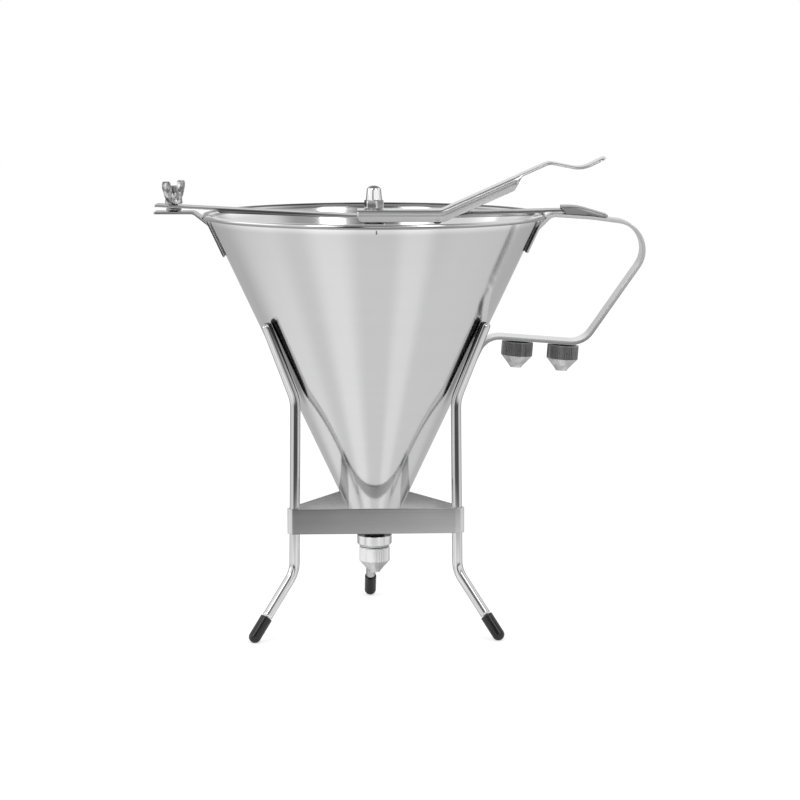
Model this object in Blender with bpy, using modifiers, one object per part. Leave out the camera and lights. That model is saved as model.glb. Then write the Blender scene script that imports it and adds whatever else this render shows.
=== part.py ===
"""Dispensing funnel: a steel cone funnel with a thumb lever valve, on a wire stand with three legs.

Metres, +Z up, +X towards the handle. The stand rests on Z = 0, and the origin lies under the
middle of the object's box. Reaches below are measured from the funnel's own axis or, where the
comment says so, from the rim, and heights from the surface that the stand rests on.
"""

from math import acos, ceil, cos, pi, radians, sin, tan

import bmesh
import bpy
from mathutils import Vector

MILLIMETRE = 0.001

# Fits
GAP = 0.0003
OVERRUN = 0.003
WELD_DISTANCE = 0.00001

# Funnel cone
RIM_RADIUS = 0.100
RIM_BEAD = 0.00145
BEAD_START = radians(160.0)
BEAD_END = radians(-130.0)
CONE_HALF_ANGLE = radians(25.05)
CONE_SHEET = 0.0010

# Outlet, from the nozzle's tip upwards
TIP_CLEARANCE = 0.0326
TIP_LENGTH = 0.0072
TIP_RADIUS = 0.0033
TIP_BORE = 0.0021
TIP_LAND = 0.0015
TIP_ROUND = 0.0008
NOZZLE_RADIUS = 0.0090
NOZZLE_BODY = 0.0082
NOZZLE_CHAMFER = 0.0006
THREAD_RADIUS = 0.0062
THREAD_LENGTH = 0.0065
COLLAR_RADIUS = 0.01005
COLLAR_LENGTH = 0.0068
COLLAR_CHAMFER = 0.0018
SEAL_RADIUS = 0.0062
SEAL_LENGTH = 0.0020
SEAL_WALL = 0.0011
FLANGE_RADIUS = 0.0103
FLANGE_LENGTH = 0.0010
OUTLET_BORE = 0.0042
SEAT_DEPTH = 0.0008

# Valve rod and what it carries
ROD_RADIUS = 0.0030
PLUG_RADIUS = 0.0073
PLUG_NOSE_RADIUS = 0.0036
PLUG_BODY = 0.0045
PLUG_TOP_RADIUS = 0.0046
PLUG_TAPER = 0.0035
PLUG_SOCKET = 0.0060
SPRING_COLLAR_RADIUS = 0.0058
SPRING_COLLAR_LENGTH = 0.0040
SPRING_LENGTH = 0.0450
SPRING_WIRE = 0.0010
SPRING_MEAN_RADIUS = 0.0040
SPRING_CURLS = 11
WASHER_RADIUS = 0.0063
WASHER_LENGTH = 0.0010
BUSH_RADIUS = 0.0050
BUSH_LENGTH = 0.0037
BUSH_NECK_RADIUS = 0.0040
NUT_FLATS = 0.0102
NUT_LENGTH = 0.0052
NUT_TURN = radians(-13.7)
DOME_RADIUS = 0.0047
DOME_TOP_RADIUS = 0.0040
DOME_LENGTH = 0.0082
DOME_ROUND = 0.0026

# Crossbar, an inverted channel across the mouth; its rises are above its level middle
BAR_WIDTH = 0.0160
BAR_SHEET = 0.0012
BAR_CENTRE_RISE = 0.0009
BAR_LEFT_OVERHANG = 0.0270
BAR_LEFT_RISE = 0.0058
BAR_LEFT_KNEE = 0.0120
BAR_RIGHT_KNEE = 0.0062
BAR_KNEE_RUN = 0.0140
BAR_KNEE_RISE = 0.0018
BAR_TONGUE_OVERHANG = 0.0080
BAR_TONGUE_RISE = 0.0030
BAR_TONGUE_LENGTH = 0.0085
BAR_TONGUE_DROP = 0.0008
BAR_FLANGE_INSET = 0.0110
BAR_FLANGE_TAPER = 0.0048
BAR_FLANGE_LEFT = 0.0031
BAR_FLANGE_CENTRE = 0.0021
BAR_FLANGE_RIGHT = 0.0034
BAR_FLANGE_END_INSET = 0.0006
BAR_NOTCH = 0.0055
BAR_NOTCH_SLOPE = 0.0020
BAR_SLOT_RADIUS = 0.0029
EAR_RADIUS = 0.0031

# Lever, a deeper channel that straddles the crossbar
LEVER_WIDTH = 0.0200
LEVER_SHEET = 0.0014
LEVER_DEPTH = 0.0070
LEVER_TAIL = 0.0095
LEVER_SWING_ROOM = 0.0013
LEVER_CORNER = 0.0030
LEVER_BEND_REACH = 0.0022
LEVER_BEND = 0.0060
LEVER_SLOPE = radians(24.0)
LEVER_SLANT = 0.0686
LEVER_FLANGE_RUN = 0.0530
LEVER_END_CUT = 0.0098
PIVOT_REACH = 0.0369
PIVOT_RADIUS = 0.0010
PIVOT_CHAMFER = 0.0002
ROD_SLOT_LEFT = 0.0062
ROD_SLOT_RIGHT = 0.0034
ROD_SLOT_HALF = 0.0034
TAB_FALL = radians(11.3)
TAB_FALL_LENGTH = 0.0192
TAB_LIFT = radians(26.0)
TAB_LIFT_LENGTH = 0.0148
TAB_CREST_BEND = 0.0080
TAB_DIP_BEND = 0.0160

# Handle, one bent strip; its reaches and drops are measured from the rim
HANDLE_WIDTH = 0.0200
HANDLE_SHEET = 0.0020
HANDLE_LEAN = radians(45.0)
UPPER_FOOT = 0.0150
FOOT_BEND = 0.0060
CREST_SLOPE = radians(3.8)
CREST_BEND = 0.0060
KNEE_REACH = 0.0264
KNEE_DROP = 0.0009
KNEE_BEND = 0.0600
UPPER_CORNER_REACH = 0.0695
UPPER_CORNER_DROP = 0.0067
UPPER_CORNER_BEND = 0.0168
LOWER_CORNER_REACH = 0.0226
LOWER_CORNER_DROP = 0.0746
LOWER_CORNER_BEND = 0.0140
LOWER_RUN_SLOPE = radians(4.2)
LOWER_FOOT = 0.0240
LOWER_FOOT_BEND = 0.0125

# Hood on the handle, over the crossbar's tongue
HOOD_REACH = 0.0094
HOOD_LENGTH = 0.0262
HOOD_HEIGHT = 0.0042
HOOD_SHEET = 0.0013
HOOD_FLAT = 0.0091
HOOD_BEND = 0.0300
HOOD_NOTCH = 0.0022

# Studs under the handle for the two spare nozzles
STUD_SETBACK = 0.0113
STUD_SPACING = 0.0269
STUD_LENGTH = 0.0058
STUD_SHOULDER = 0.0005
STUD_SHOULDER_RADIUS = 0.0076

# Bracket, clamp bolt, lock nut and wing nut; the overhangs are beyond the rim
BRACKET_WIDTH = 0.0160
BRACKET_SHEET = 0.0015
BRACKET_LEAN = radians(38.0)
BRACKET_FOOT = 0.0200
BRACKET_OVERHANG = 0.0275
BRACKET_BEND = 0.0040
BOLT_OVERHANG = 0.0167
BOLT_RADIUS = 0.0025
BOLT_HEAD_RADIUS = 0.0036
BOLT_ABOVE_BAR = 0.0105
LOCK_NUT_FLATS = 0.0080
LOCK_NUT_LENGTH = 0.0017
LOCK_NUT_TURN = radians(20.0)
WING_BASE_RADIUS = 0.0053
WING_NECK_RADIUS = 0.0043
WING_BASE_LENGTH = 0.0068
WING_SPAN = 0.0240
WING_HEIGHT = 0.0133
WING_THICKNESS = 0.0022
WING_ROUND = 0.0018
WING_TURN = radians(62.0)
WING_OUTLINE_SHARES = ((0.27, 0.06), (0.42, 0.06), (0.80, 0.33), (1.00, 0.72), (0.93, 1.00),
                       (0.50, 1.00), (0.33, 0.62), (0.28, 0.30))

# Stand
STAND_TURN = radians(2.5)
WIRE_RADIUS = 0.0030
WIRE_END_ROUND = 0.0016
LEG_DROP = 0.0607
LEG_LEAN = radians(22.8)
LEG_RADIUS = 0.0546
UPPER_BEND = 0.0240
SHANK_SPLAY = radians(0.77)
SPLAY_ANGLE = radians(36.9)
LOWER_BEND = 0.0160
FOOT_RADIUS = 0.0034
FOOT_LENGTH = 0.0168
FOOT_FLAT = 0.0003
FOOT_REACH = 0.0817
TENON_RADIUS = 0.0019
TENON_LENGTH = 0.0080
BAND_HEIGHT = 0.0148
BAND_TOP = 0.0764
BAND_SHEET = 0.0010
LEG_AZIMUTHS = {"front_left": radians(210.0), "front_right": radians(330.0), "rear": radians(90.0)}

# Fineness of round shapes
ROUND_STEPS = 32
SLIM_STEPS = 24
CONE_STEPS = 72
BEND_STEP = radians(12.0)
BAND_STEP = radians(15.0)
BALL_STEP = radians(15.0)
EAR_STEP = radians(22.0)
BEAD_STEP = radians(29.0)
WIRE_END_ANGLES = (radians(75.0), radians(50.0), radians(25.0))
CURL_POINTS = 9
WIRE_FINENESS = 3
SPRING_FINENESS = 1
SMOOTH_ANGLE = radians(35.0)
FULL_TURN = 2 * pi
QUARTER_TURN = pi / 2
HALF_TURN = pi

# Outlet heights that follow
NOZZLE_TOP = TIP_CLEARANCE + TIP_LENGTH + NOZZLE_BODY
COLLAR_BOTTOM = NOZZLE_TOP + GAP
COLLAR_TOP = COLLAR_BOTTOM + COLLAR_LENGTH
FLANGE_BOTTOM = COLLAR_TOP + SEAL_LENGTH + 2 * GAP
FLANGE_TOP = FLANGE_BOTTOM + FLANGE_LENGTH
CONE_BOTTOM = FLANGE_TOP + GAP

# Cone and rim that follow
APEX_HEIGHT = CONE_BOTTOM - FLANGE_RADIUS / tan(CONE_HALF_ANGLE)
RIM_HEIGHT = APEX_HEIGHT + (RIM_RADIUS - 2 * RIM_BEAD) / tan(CONE_HALF_ANGLE)
RIM_TOP = RIM_HEIGHT + RIM_BEAD
BEAD_CENTRE = Vector((RIM_RADIUS - RIM_BEAD, RIM_HEIGHT))
CONE_UPWARD = Vector((sin(CONE_HALF_ANGLE), cos(CONE_HALF_ANGLE)))

# Crossbar, lever and valve rod heights that follow
BAR_TOP = RIM_HEIGHT + BAR_CENTRE_RISE
BAR_UNDER = BAR_TOP - BAR_SHEET
PIVOT_HEIGHT = BAR_UNDER - GAP - PIVOT_RADIUS
PIN_HOLE = PIVOT_RADIUS + GAP
LEVER_TOP = BAR_TOP + LEVER_SWING_ROOM + LEVER_SHEET
LEVER_BOTTOM = LEVER_TOP - LEVER_DEPTH
NUT_BOTTOM = LEVER_TOP + GAP
NUT_TOP = NUT_BOTTOM + NUT_LENGTH
DOME_TOP = NUT_TOP + DOME_LENGTH
ROD_TOP = DOME_TOP - DOME_ROUND
ROD_BORE = ROD_RADIUS + GAP
BUSH_TOP = BAR_UNDER - GAP
BUSH_BOTTOM = BUSH_TOP - BUSH_LENGTH
WASHER_TOP = BUSH_BOTTOM - GAP
WASHER_BOTTOM = WASHER_TOP - WASHER_LENGTH
SPRING_TOP = WASHER_BOTTOM - GAP
SPRING_BOTTOM = SPRING_TOP - SPRING_LENGTH
SEAT_RADIUS = OUTLET_BORE + SEAT_DEPTH
PLUG_CONTACT = FLANGE_TOP + GAP / cos(QUARTER_TURN / 2)
PLUG_NOSE = PLUG_CONTACT - (SEAT_RADIUS - PLUG_NOSE_RADIUS)
PLUG_SHOULDER = PLUG_CONTACT + PLUG_RADIUS - SEAT_RADIUS
PLUG_TOP = PLUG_SHOULDER + PLUG_BODY + PLUG_TAPER

# Places that follow
BAR_LEFT_END = RIM_RADIUS + BAR_LEFT_OVERHANG
BOLT_PLACE = RIM_RADIUS + BOLT_OVERHANG
BRACKET_END = RIM_RADIUS + BRACKET_OVERHANG
HOOD_START = RIM_RADIUS + HOOD_REACH
HOOD_END = HOOD_START + HOOD_LENGTH
BAND_MIDDLE = BAND_TOP - BAND_HEIGHT / 2

for leftover in list(bpy.data.objects):
    bpy.data.objects.remove(leftover, do_unlink=True)


# Plane geometry: a point is (across, up)

def crossing(point, direction, other, other_direction):
    """The point where two lines of one plane meet."""
    between = other - point
    spread = direction.x * other_direction.y - direction.y * other_direction.x
    return point + direction * (between.x * other_direction.y - between.y * other_direction.x) / spread


def heading(angle):
    return Vector((cos(angle), sin(angle)))


def arc(centre, radius, start, end, step=BEND_STEP):
    count = max(2, ceil(abs(end - start) / step))
    return [centre + radius * heading(start + (end - start) * index / count) for index in range(count + 1)]


def rounded(corners, closed=False):
    """Straight runs through corners given as (across, up, bend radius), each turned on its radius."""
    places = [Vector(corner[:2]) for corner in corners]
    bends = [corner[2] for corner in corners]
    path = []
    for index, (corner, bend) in enumerate(zip(places, bends)):
        at_end = not closed and index in (0, len(places) - 1)
        if at_end or bend == 0:
            path.append(corner)
            continue
        arriving = (corner - places[index - 1]).normalized()
        leaving = (places[(index + 1) % len(places)] - corner).normalized()
        turn = leaving.angle_signed(arriving)
        if abs(turn) < BEND_STEP / 4:
            path.append(corner)
            continue
        side = 1 if turn > 0 else -1
        start = corner - arriving * bend * tan(abs(turn) / 2)
        spoke_angle = Vector((1, 0)).angle_signed(arriving) * -1 - side * QUARTER_TURN
        centre = start - bend * heading(spoke_angle)
        path += arc(centre, bend, spoke_angle, spoke_angle + turn)
    return path


def beside(path, distance):
    """The path moved to its left, or to its right for a negative distance."""
    moved = []
    for index, point in enumerate(path):
        arriving = point - path[index - 1] if index else path[1] - point
        leaving = path[index + 1] - point if index + 1 < len(path) else arriving
        arriving, leaving = arriving.normalized(), leaving.normalized()
        along = (arriving + leaving).normalized()
        moved.append(point + Vector((-along.y, along.x)) * distance / along.dot(arriving))
    return moved


def strip(path, thickness):
    """Side view of a bent strip whose middle follows the path."""
    return beside(path, thickness / 2) + beside(path, -thickness / 2)[::-1]


def height_on(path, across):
    """The height of a path that runs left to right."""
    for first, second in zip(path, path[1:]):
        if first.x <= across <= second.x:
            return first.y + (second.y - first.y) * (across - first.x) / (second.x - first.x)
    return path[-1].y if across > path[-1].x else path[0].y


def mirrored(path):
    return [Vector((-point.x, point.y)) for point in path]


def cone_line(offset):
    """A point at rim height on the line that runs beside the cone's outside."""
    return Vector((RIM_RADIUS - 2 * RIM_BEAD + offset / cos(CONE_HALF_ANGLE), RIM_HEIGHT))


def cone_radius(height):
    return (height - APEX_HEIGHT) * tan(CONE_HALF_ANGLE)


# Handle: up the cone, out past the bead, along, round two corners and back to the cone

HANDLE_OFFSET = GAP + HANDLE_SHEET / 2
lean = heading(HANDLE_LEAN)
past_bead = BEAD_CENTRE + (RIM_BEAD + HANDLE_OFFSET) * heading(HANDLE_LEAN - QUARTER_TURN)
knee = Vector((RIM_RADIUS + KNEE_REACH, RIM_HEIGHT - KNEE_DROP))
upper_corner = Vector((RIM_RADIUS + UPPER_CORNER_REACH, RIM_HEIGHT - UPPER_CORNER_DROP))
lower_corner = Vector((RIM_RADIUS + LOWER_CORNER_REACH, RIM_HEIGHT - LOWER_CORNER_DROP))
foot_corner = crossing(cone_line(HANDLE_OFFSET), CONE_UPWARD, past_bead, lean)
crest_corner = crossing(knee, heading(-CREST_SLOPE), past_bead, lean)
run_direction = heading(HALF_TURN - LOWER_RUN_SLOPE)
lower_foot_corner = crossing(lower_corner, run_direction, cone_line(HANDLE_OFFSET), CONE_UPWARD)
HANDLE_PATH = rounded([
    (*(foot_corner - UPPER_FOOT * CONE_UPWARD), 0),
    (*foot_corner, FOOT_BEND),
    (*crest_corner, CREST_BEND),
    (*knee, KNEE_BEND),
    (*upper_corner, UPPER_CORNER_BEND),
    (*lower_corner, LOWER_CORNER_BEND),
    (*lower_foot_corner, LOWER_FOOT_BEND),
    (*(lower_foot_corner - LOWER_FOOT * CONE_UPWARD), 0)])
HANDLE_OUTLINE = strip(HANDLE_PATH, HANDLE_SHEET)
HANDLE_REACH = max(point.x for point in HANDLE_OUTLINE)
AXIS_X = (BRACKET_END - HANDLE_REACH) / 2

# Crossbar's upper surface, from the clamped end to the tongue's tip
BAR_PATH = [
    Vector((-BAR_LEFT_END, BAR_TOP + BAR_LEFT_RISE)),
    Vector((-BAR_LEFT_KNEE, BAR_TOP)),
    Vector((PIVOT_REACH + BAR_RIGHT_KNEE, BAR_TOP)),
    Vector((PIVOT_REACH + BAR_RIGHT_KNEE + BAR_KNEE_RUN, BAR_TOP + BAR_KNEE_RISE)),
    Vector((RIM_RADIUS + BAR_TONGUE_OVERHANG, BAR_TOP + BAR_TONGUE_RISE)),
    Vector((RIM_RADIUS + BAR_TONGUE_OVERHANG + BAR_TONGUE_LENGTH,
            BAR_TOP + BAR_TONGUE_RISE - BAR_TONGUE_DROP))]
LOCK_NUT_RADIUS = LOCK_NUT_FLATS / 2 / cos(FULL_TURN / 12)
LOCK_NUT_TOP = height_on(BAR_PATH, LOCK_NUT_RADIUS - BOLT_PLACE) - BAR_SHEET - GAP
BRACKET_TOP = LOCK_NUT_TOP - LOCK_NUT_LENGTH - GAP
BRACKET_BOTTOM = BRACKET_TOP - BRACKET_SHEET
WING_BOTTOM = height_on(BAR_PATH, -BOLT_PLACE - WING_BASE_RADIUS) + GAP


# Collections, parents and materials

def new_collection(name):
    collection = bpy.data.collections.new(name)
    bpy.context.scene.collection.children.link(collection)
    return collection


def new_parent(name, place=(0, 0, 0), turn=0.0, parent=None):
    empty = bpy.data.objects.new(name, None)
    PARTS.objects.link(empty)
    empty.location = place
    empty.rotation_euler.z = turn
    empty.parent = parent
    return empty


def metal(name, grey, roughness):
    return finish(name, (grey, grey, grey), roughness, 1.0)


def finish(name, colour, roughness, metallic):
    material = bpy.data.materials.new(name)
    material.use_nodes = True
    shader = material.node_tree.nodes["Principled BSDF"]
    shader.inputs["Base Color"].default_value = (*colour, 1.0)
    shader.inputs["Roughness"].default_value = roughness
    shader.inputs["Metallic"].default_value = metallic
    material.diffuse_color = (*colour, 1.0)
    return material


def polished_steel(name):
    return metal(name + "_polished", 0.80, 0.12)


def satin_steel(name):
    return metal(name + "_satin", 0.68, 0.30)


def cast_steel(name):
    return metal(name + "_cast", 0.55, 0.45)


def black_rubber(name):
    return finish(name + "_rubber", (0.012, 0.012, 0.012), 0.30, 0.0)


PARTS = new_collection("dispensing_funnel")
CUTTERS = new_collection("cutters")
FUNNEL_AXIS = new_parent("funnel_axis", (AXIS_X, 0, 0))
STAND_AXIS = new_parent("stand_axis", (AXIS_X, 0, 0), STAND_TURN)


# Solids

def put(name, mesh, make_material, origin, rotation, parent):
    """A named part, or a cutter where no material is asked for."""
    thing = bpy.data.objects.new(name, mesh)
    thing.location = origin
    thing.rotation_euler = rotation
    thing.parent = parent
    if make_material:
        PARTS.objects.link(thing)
        mesh.materials.append(make_material(name))
    else:
        CUTTERS.objects.link(thing)
        thing.hide_render = True
        thing.display_type = "WIRE"
    return thing


def welded_mesh(source):
    """The mesh that a curve or its modifiers make, closed at its seams, and the source removed."""
    PARTS.objects.link(source)
    bpy.context.view_layer.update()
    evaluated = source.evaluated_get(bpy.context.evaluated_depsgraph_get())
    mesh = bpy.data.meshes.new_from_object(evaluated)
    bpy.data.objects.remove(source, do_unlink=True)
    shape = bmesh.new()
    shape.from_mesh(mesh)
    bmesh.ops.remove_doubles(shape, verts=shape.verts, dist=WELD_DISTANCE)
    bmesh.ops.recalc_face_normals(shape, faces=shape.faces)
    shape.to_mesh(mesh)
    shape.free()
    mesh.shade_smooth()
    mesh.set_sharp_from_angle(angle=SMOOTH_ANGLE)
    return mesh


def turned(name, profile, make_material=None, origin=(0, 0, 0), rotation=(0, 0, 0),
           parent=FUNNEL_AXIS, steps=ROUND_STEPS):
    """A profile of (radius, height) spun about Z; one that starts off the axis is a closed ring."""
    mesh = bpy.data.meshes.new(name + "_profile")
    links = [(index, index + 1) for index in range(len(profile) - 1)]
    if profile[0][0] > 0:
        links.append((len(profile) - 1, 0))
    mesh.from_pydata([(radius, 0, height) for radius, height in profile], links, [])
    source = bpy.data.objects.new(name + "_profile", mesh)
    screw = source.modifiers.new("turn", "SCREW")
    screw.steps = steps
    screw.render_steps = steps
    screw.use_merge_vertices = True
    screw.merge_threshold = WELD_DISTANCE
    return put(name, welded_mesh(source), make_material, origin, rotation, parent)


def flat(name, outlines, thickness, make_material=None, origin=(0, 0, 0), rotation=(0, 0, 0),
         parent=FUNNEL_AXIS):
    """Closed outlines about the origin given a thickness, half to each side of their plane."""
    curve = bpy.data.curves.new(name + "_outline", "CURVE")
    curve.dimensions = "2D"
    curve.fill_mode = "BOTH"
    curve.extrude = thickness / 2
    for outline in outlines:
        spline = curve.splines.new("POLY")
        spline.points.add(len(outline) - 1)
        spline.use_cyclic_u = True
        for point, place in zip(spline.points, outline):
            point.co = (place[0], place[1], 0, 1)
    source = bpy.data.objects.new(name + "_outline", curve)
    return put(name, welded_mesh(source), make_material, origin, rotation, parent)


def side_view(name, outline, width, make_material=None, origin=(0, 0, 0)):
    """An outline in the plane of X and Z, given a width along Y."""
    shifted = [Vector((point.x - origin[0], point.y - origin[2])) for point in outline]
    return flat(name, [shifted], width, make_material, origin, (QUARTER_TURN, 0, 0))


def wire(name, path, radius, fineness, make_material, origin=(0, 0, 0), parent=FUNNEL_AXIS, shares=None):
    """A round wire along points in space, with its radius scaled point by point by the shares."""
    curve = bpy.data.curves.new(name + "_path", "CURVE")
    curve.dimensions = "3D"
    curve.bevel_depth = radius
    curve.bevel_resolution = fineness
    curve.use_fill_caps = True
    spline = curve.splines.new("POLY")
    spline.points.add(len(path) - 1)
    for index, (point, place) in enumerate(zip(spline.points, path)):
        point.co = (*place, 1)
        point.radius = shares[index] if shares else 1
    source = bpy.data.objects.new(name + "_path", curve)
    return put(name, welded_mesh(source), make_material, origin, (0, 0, 0), parent)


def combine(solid, operation, *others):
    for other in others:
        modifier = solid.modifiers.new(other.name, "BOOLEAN")
        modifier.operation = operation
        modifier.solver = "EXACT"
        modifier.object = other


def hexagon(flats, turn):
    corner = flats / 2 / cos(FULL_TURN / 12)
    return [corner * heading(turn + FULL_TURN * index / 6) for index in range(6)]


def cylinder(name, radius, bottom, top, origin=(0, 0, 0), rotation=(0, 0, 0), make_material=None):
    return turned(name, [(0, top), (radius, top), (radius, bottom), (0, bottom)], make_material,
                  origin, rotation)


# Funnel

def make_cone():
    """A thin cone whose upper edge is rolled outwards into a bead."""
    wall = CONE_SHEET / cos(CONE_HALF_ANGLE)
    bead_foot = RIM_HEIGHT - RIM_BEAD
    bead = arc(BEAD_CENTRE, RIM_BEAD, BEAD_START, BEAD_END, step=BEAD_STEP)
    turned("funnel_cone", [
        *bead,
        (cone_radius(bead_foot), bead_foot),
        (FLANGE_RADIUS, CONE_BOTTOM),
        (FLANGE_RADIUS - wall, CONE_BOTTOM),
        (cone_radius(bead_foot) - wall, bead_foot)], polished_steel, steps=CONE_STEPS)


def make_outlet():
    """The machined outlet below the cone: flange, neck, collar and the nozzle's thread."""
    neck = SEAL_RADIUS - SEAL_WALL - GAP
    thread_end = COLLAR_BOTTOM - THREAD_LENGTH
    turned("outlet_spigot", [
        (SEAT_RADIUS, FLANGE_TOP),
        (FLANGE_RADIUS, FLANGE_TOP),
        (FLANGE_RADIUS, FLANGE_BOTTOM),
        (neck, FLANGE_BOTTOM),
        (neck, COLLAR_TOP),
        (COLLAR_RADIUS, COLLAR_TOP),
        (COLLAR_RADIUS, COLLAR_BOTTOM + COLLAR_CHAMFER),
        (COLLAR_RADIUS - COLLAR_CHAMFER, COLLAR_BOTTOM),
        (THREAD_RADIUS, COLLAR_BOTTOM),
        (THREAD_RADIUS, thread_end),
        (OUTLET_BORE, thread_end),
        (OUTLET_BORE, FLANGE_TOP - SEAT_DEPTH)], polished_steel)
    turned("outlet_seal", [
        (SEAL_RADIUS, COLLAR_TOP + GAP + SEAL_LENGTH),
        (SEAL_RADIUS, COLLAR_TOP + GAP),
        (SEAL_RADIUS - SEAL_WALL, COLLAR_TOP + GAP),
        (SEAL_RADIUS - SEAL_WALL, COLLAR_TOP + GAP + SEAL_LENGTH)], black_rubber)


def nozzle_profile():
    """Heights run down from the nozzle's top face."""
    shoulder = -NOZZLE_BODY
    tip = shoulder - TIP_LENGTH
    socket = THREAD_RADIUS + GAP
    socket_floor = -(THREAD_LENGTH + GAP)
    return [
        (NOZZLE_RADIUS - NOZZLE_CHAMFER, 0),
        (NOZZLE_RADIUS, -NOZZLE_CHAMFER),
        (NOZZLE_RADIUS, shoulder),
        (TIP_RADIUS, tip + TIP_ROUND),
        (TIP_RADIUS - TIP_ROUND / 2, tip),
        (TIP_BORE, tip),
        (TIP_BORE, tip + TIP_LAND),
        (OUTLET_BORE, socket_floor),
        (socket, socket_floor),
        (socket, 0)]


def make_nozzles():
    """The nozzle in use, and two spares screwed on studs under the handle's lower run."""
    turned("dispensing_nozzle", nozzle_profile(), polished_steel, (0, 0, NOZZLE_TOP))
    tilt = (0, LOWER_RUN_SLOPE, 0)
    down = heading(-QUARTER_TURN - LOWER_RUN_SLOPE)
    for index, side in enumerate(("outer", "inner")):
        along = STUD_SETBACK + STUD_SPACING * index
        underside = lower_corner + along * run_direction + (HANDLE_SHEET / 2 + GAP) * down
        seat = underside + (STUD_SHOULDER + GAP) * down
        turned("nozzle_stud_" + side, [
            (0, 0),
            (STUD_SHOULDER_RADIUS, 0),
            (STUD_SHOULDER_RADIUS, -STUD_SHOULDER),
            (THREAD_RADIUS, -STUD_SHOULDER),
            (THREAD_RADIUS, -STUD_SHOULDER - STUD_LENGTH),
            (0, -STUD_SHOULDER - STUD_LENGTH)], satin_steel, (underside.x, 0, underside.y), tilt)
        turned("spare_nozzle_" + side, nozzle_profile(), satin_steel, (seat.x, 0, seat.y), tilt)


def make_handle():
    side_view("handle_strip", HANDLE_OUTLINE, HANDLE_WIDTH, satin_steel)


def make_hood():
    """A folded hood on the handle's upper run, open towards the funnel and below."""
    upper_run = beside(HANDLE_PATH[:len(HANDLE_PATH) // 2], HANDLE_SHEET / 2 + GAP)
    start_seat = height_on(upper_run, HOOD_START)
    end_seat = height_on(upper_run, HOOD_END)
    top = start_seat + HOOD_HEIGHT
    roof = rounded([
        (HOOD_START, top, 0),
        (HOOD_START + HOOD_FLAT, top, HOOD_BEND),
        (HOOD_END, end_seat + HOOD_SHEET / 4, 0)])
    seat = [point for point in upper_run if HOOD_START + HOOD_NOTCH < point.x < HOOD_END]
    floor_path = [Vector((HOOD_START + HOOD_NOTCH, height_on(upper_run, HOOD_START + HOOD_NOTCH))),
                  *seat, Vector((HOOD_END, end_seat))]
    outline = [Vector((HOOD_START, start_seat + HOOD_NOTCH)), *roof, *floor_path[::-1]]
    hood = side_view("crossbar_hood", outline, HANDLE_WIDTH, satin_steel)
    ceiling = beside(roof, -HOOD_SHEET)
    inside = [point for point in ceiling if point.y > height_on(upper_run, point.x)]
    inside_end = crossing(inside[-1], roof[-1] - roof[-2], Vector((HOOD_END, end_seat)), Vector((1, 0)))
    room = [Vector((HOOD_START - OVERRUN, inside[0].y)), *inside,
            Vector((inside_end.x, end_seat - OVERRUN)), Vector((HOOD_START - OVERRUN, end_seat - OVERRUN))]
    combine(hood, "DIFFERENCE", side_view("hood_room", room, HANDLE_WIDTH - 2 * HOOD_SHEET))


# Clamp at the left: bracket, bolt, lock nut and wing nut

def make_bracket():
    offset = GAP + BRACKET_SHEET / 2
    leaning = heading(BRACKET_LEAN)
    past = BEAD_CENTRE + (RIM_BEAD + offset) * heading(BRACKET_LEAN - QUARTER_TURN)
    level = Vector((BRACKET_END, BRACKET_TOP - BRACKET_SHEET / 2))
    foot = crossing(cone_line(offset), CONE_UPWARD, past, leaning)
    path = rounded([
        (*(foot - BRACKET_FOOT * CONE_UPWARD), 0),
        (*foot, BRACKET_BEND),
        (*crossing(level, Vector((1, 0)), past, leaning), BRACKET_BEND),
        (*level, 0)])
    bracket = side_view("left_bracket", mirrored(strip(path, BRACKET_SHEET)), BRACKET_WIDTH, satin_steel)
    head = BOLT_HEAD_RADIUS - BOLT_RADIUS
    ease = GAP / cos(QUARTER_TURN / 2)
    combine(bracket, "DIFFERENCE", turned("bolt_hole", [
        (0, BRACKET_TOP + OVERRUN),
        (BOLT_RADIUS + GAP, BRACKET_TOP + OVERRUN),
        (BOLT_RADIUS + GAP, BRACKET_BOTTOM + head + ease - GAP),
        (BOLT_HEAD_RADIUS + ease, BRACKET_BOTTOM),
        (BOLT_HEAD_RADIUS + ease, BRACKET_BOTTOM - OVERRUN),
        (0, BRACKET_BOTTOM - OVERRUN)], origin=(-BOLT_PLACE, 0, 0)))
    bolt_top = WING_BOTTOM + BOLT_ABOVE_BAR
    turned("clamp_bolt", [
        (0, bolt_top),
        (BOLT_RADIUS - GAP, bolt_top),
        (BOLT_RADIUS, bolt_top - GAP),
        (BOLT_RADIUS, BRACKET_BOTTOM + head),
        (BOLT_HEAD_RADIUS, BRACKET_BOTTOM),
        (0, BRACKET_BOTTOM)], satin_steel, (-BOLT_PLACE, 0, 0), steps=SLIM_STEPS)


def make_lock_nut():
    middle = LOCK_NUT_TOP - LOCK_NUT_LENGTH / 2
    nut = flat("lock_nut", [hexagon(LOCK_NUT_FLATS, LOCK_NUT_TURN)], LOCK_NUT_LENGTH, satin_steel,
               (-BOLT_PLACE, 0, middle))
    combine(nut, "DIFFERENCE", cylinder("lock_nut_bore", BOLT_RADIUS + GAP, middle - LOCK_NUT_LENGTH,
                                        middle + LOCK_NUT_LENGTH, (-BOLT_PLACE, 0, 0)))


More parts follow.
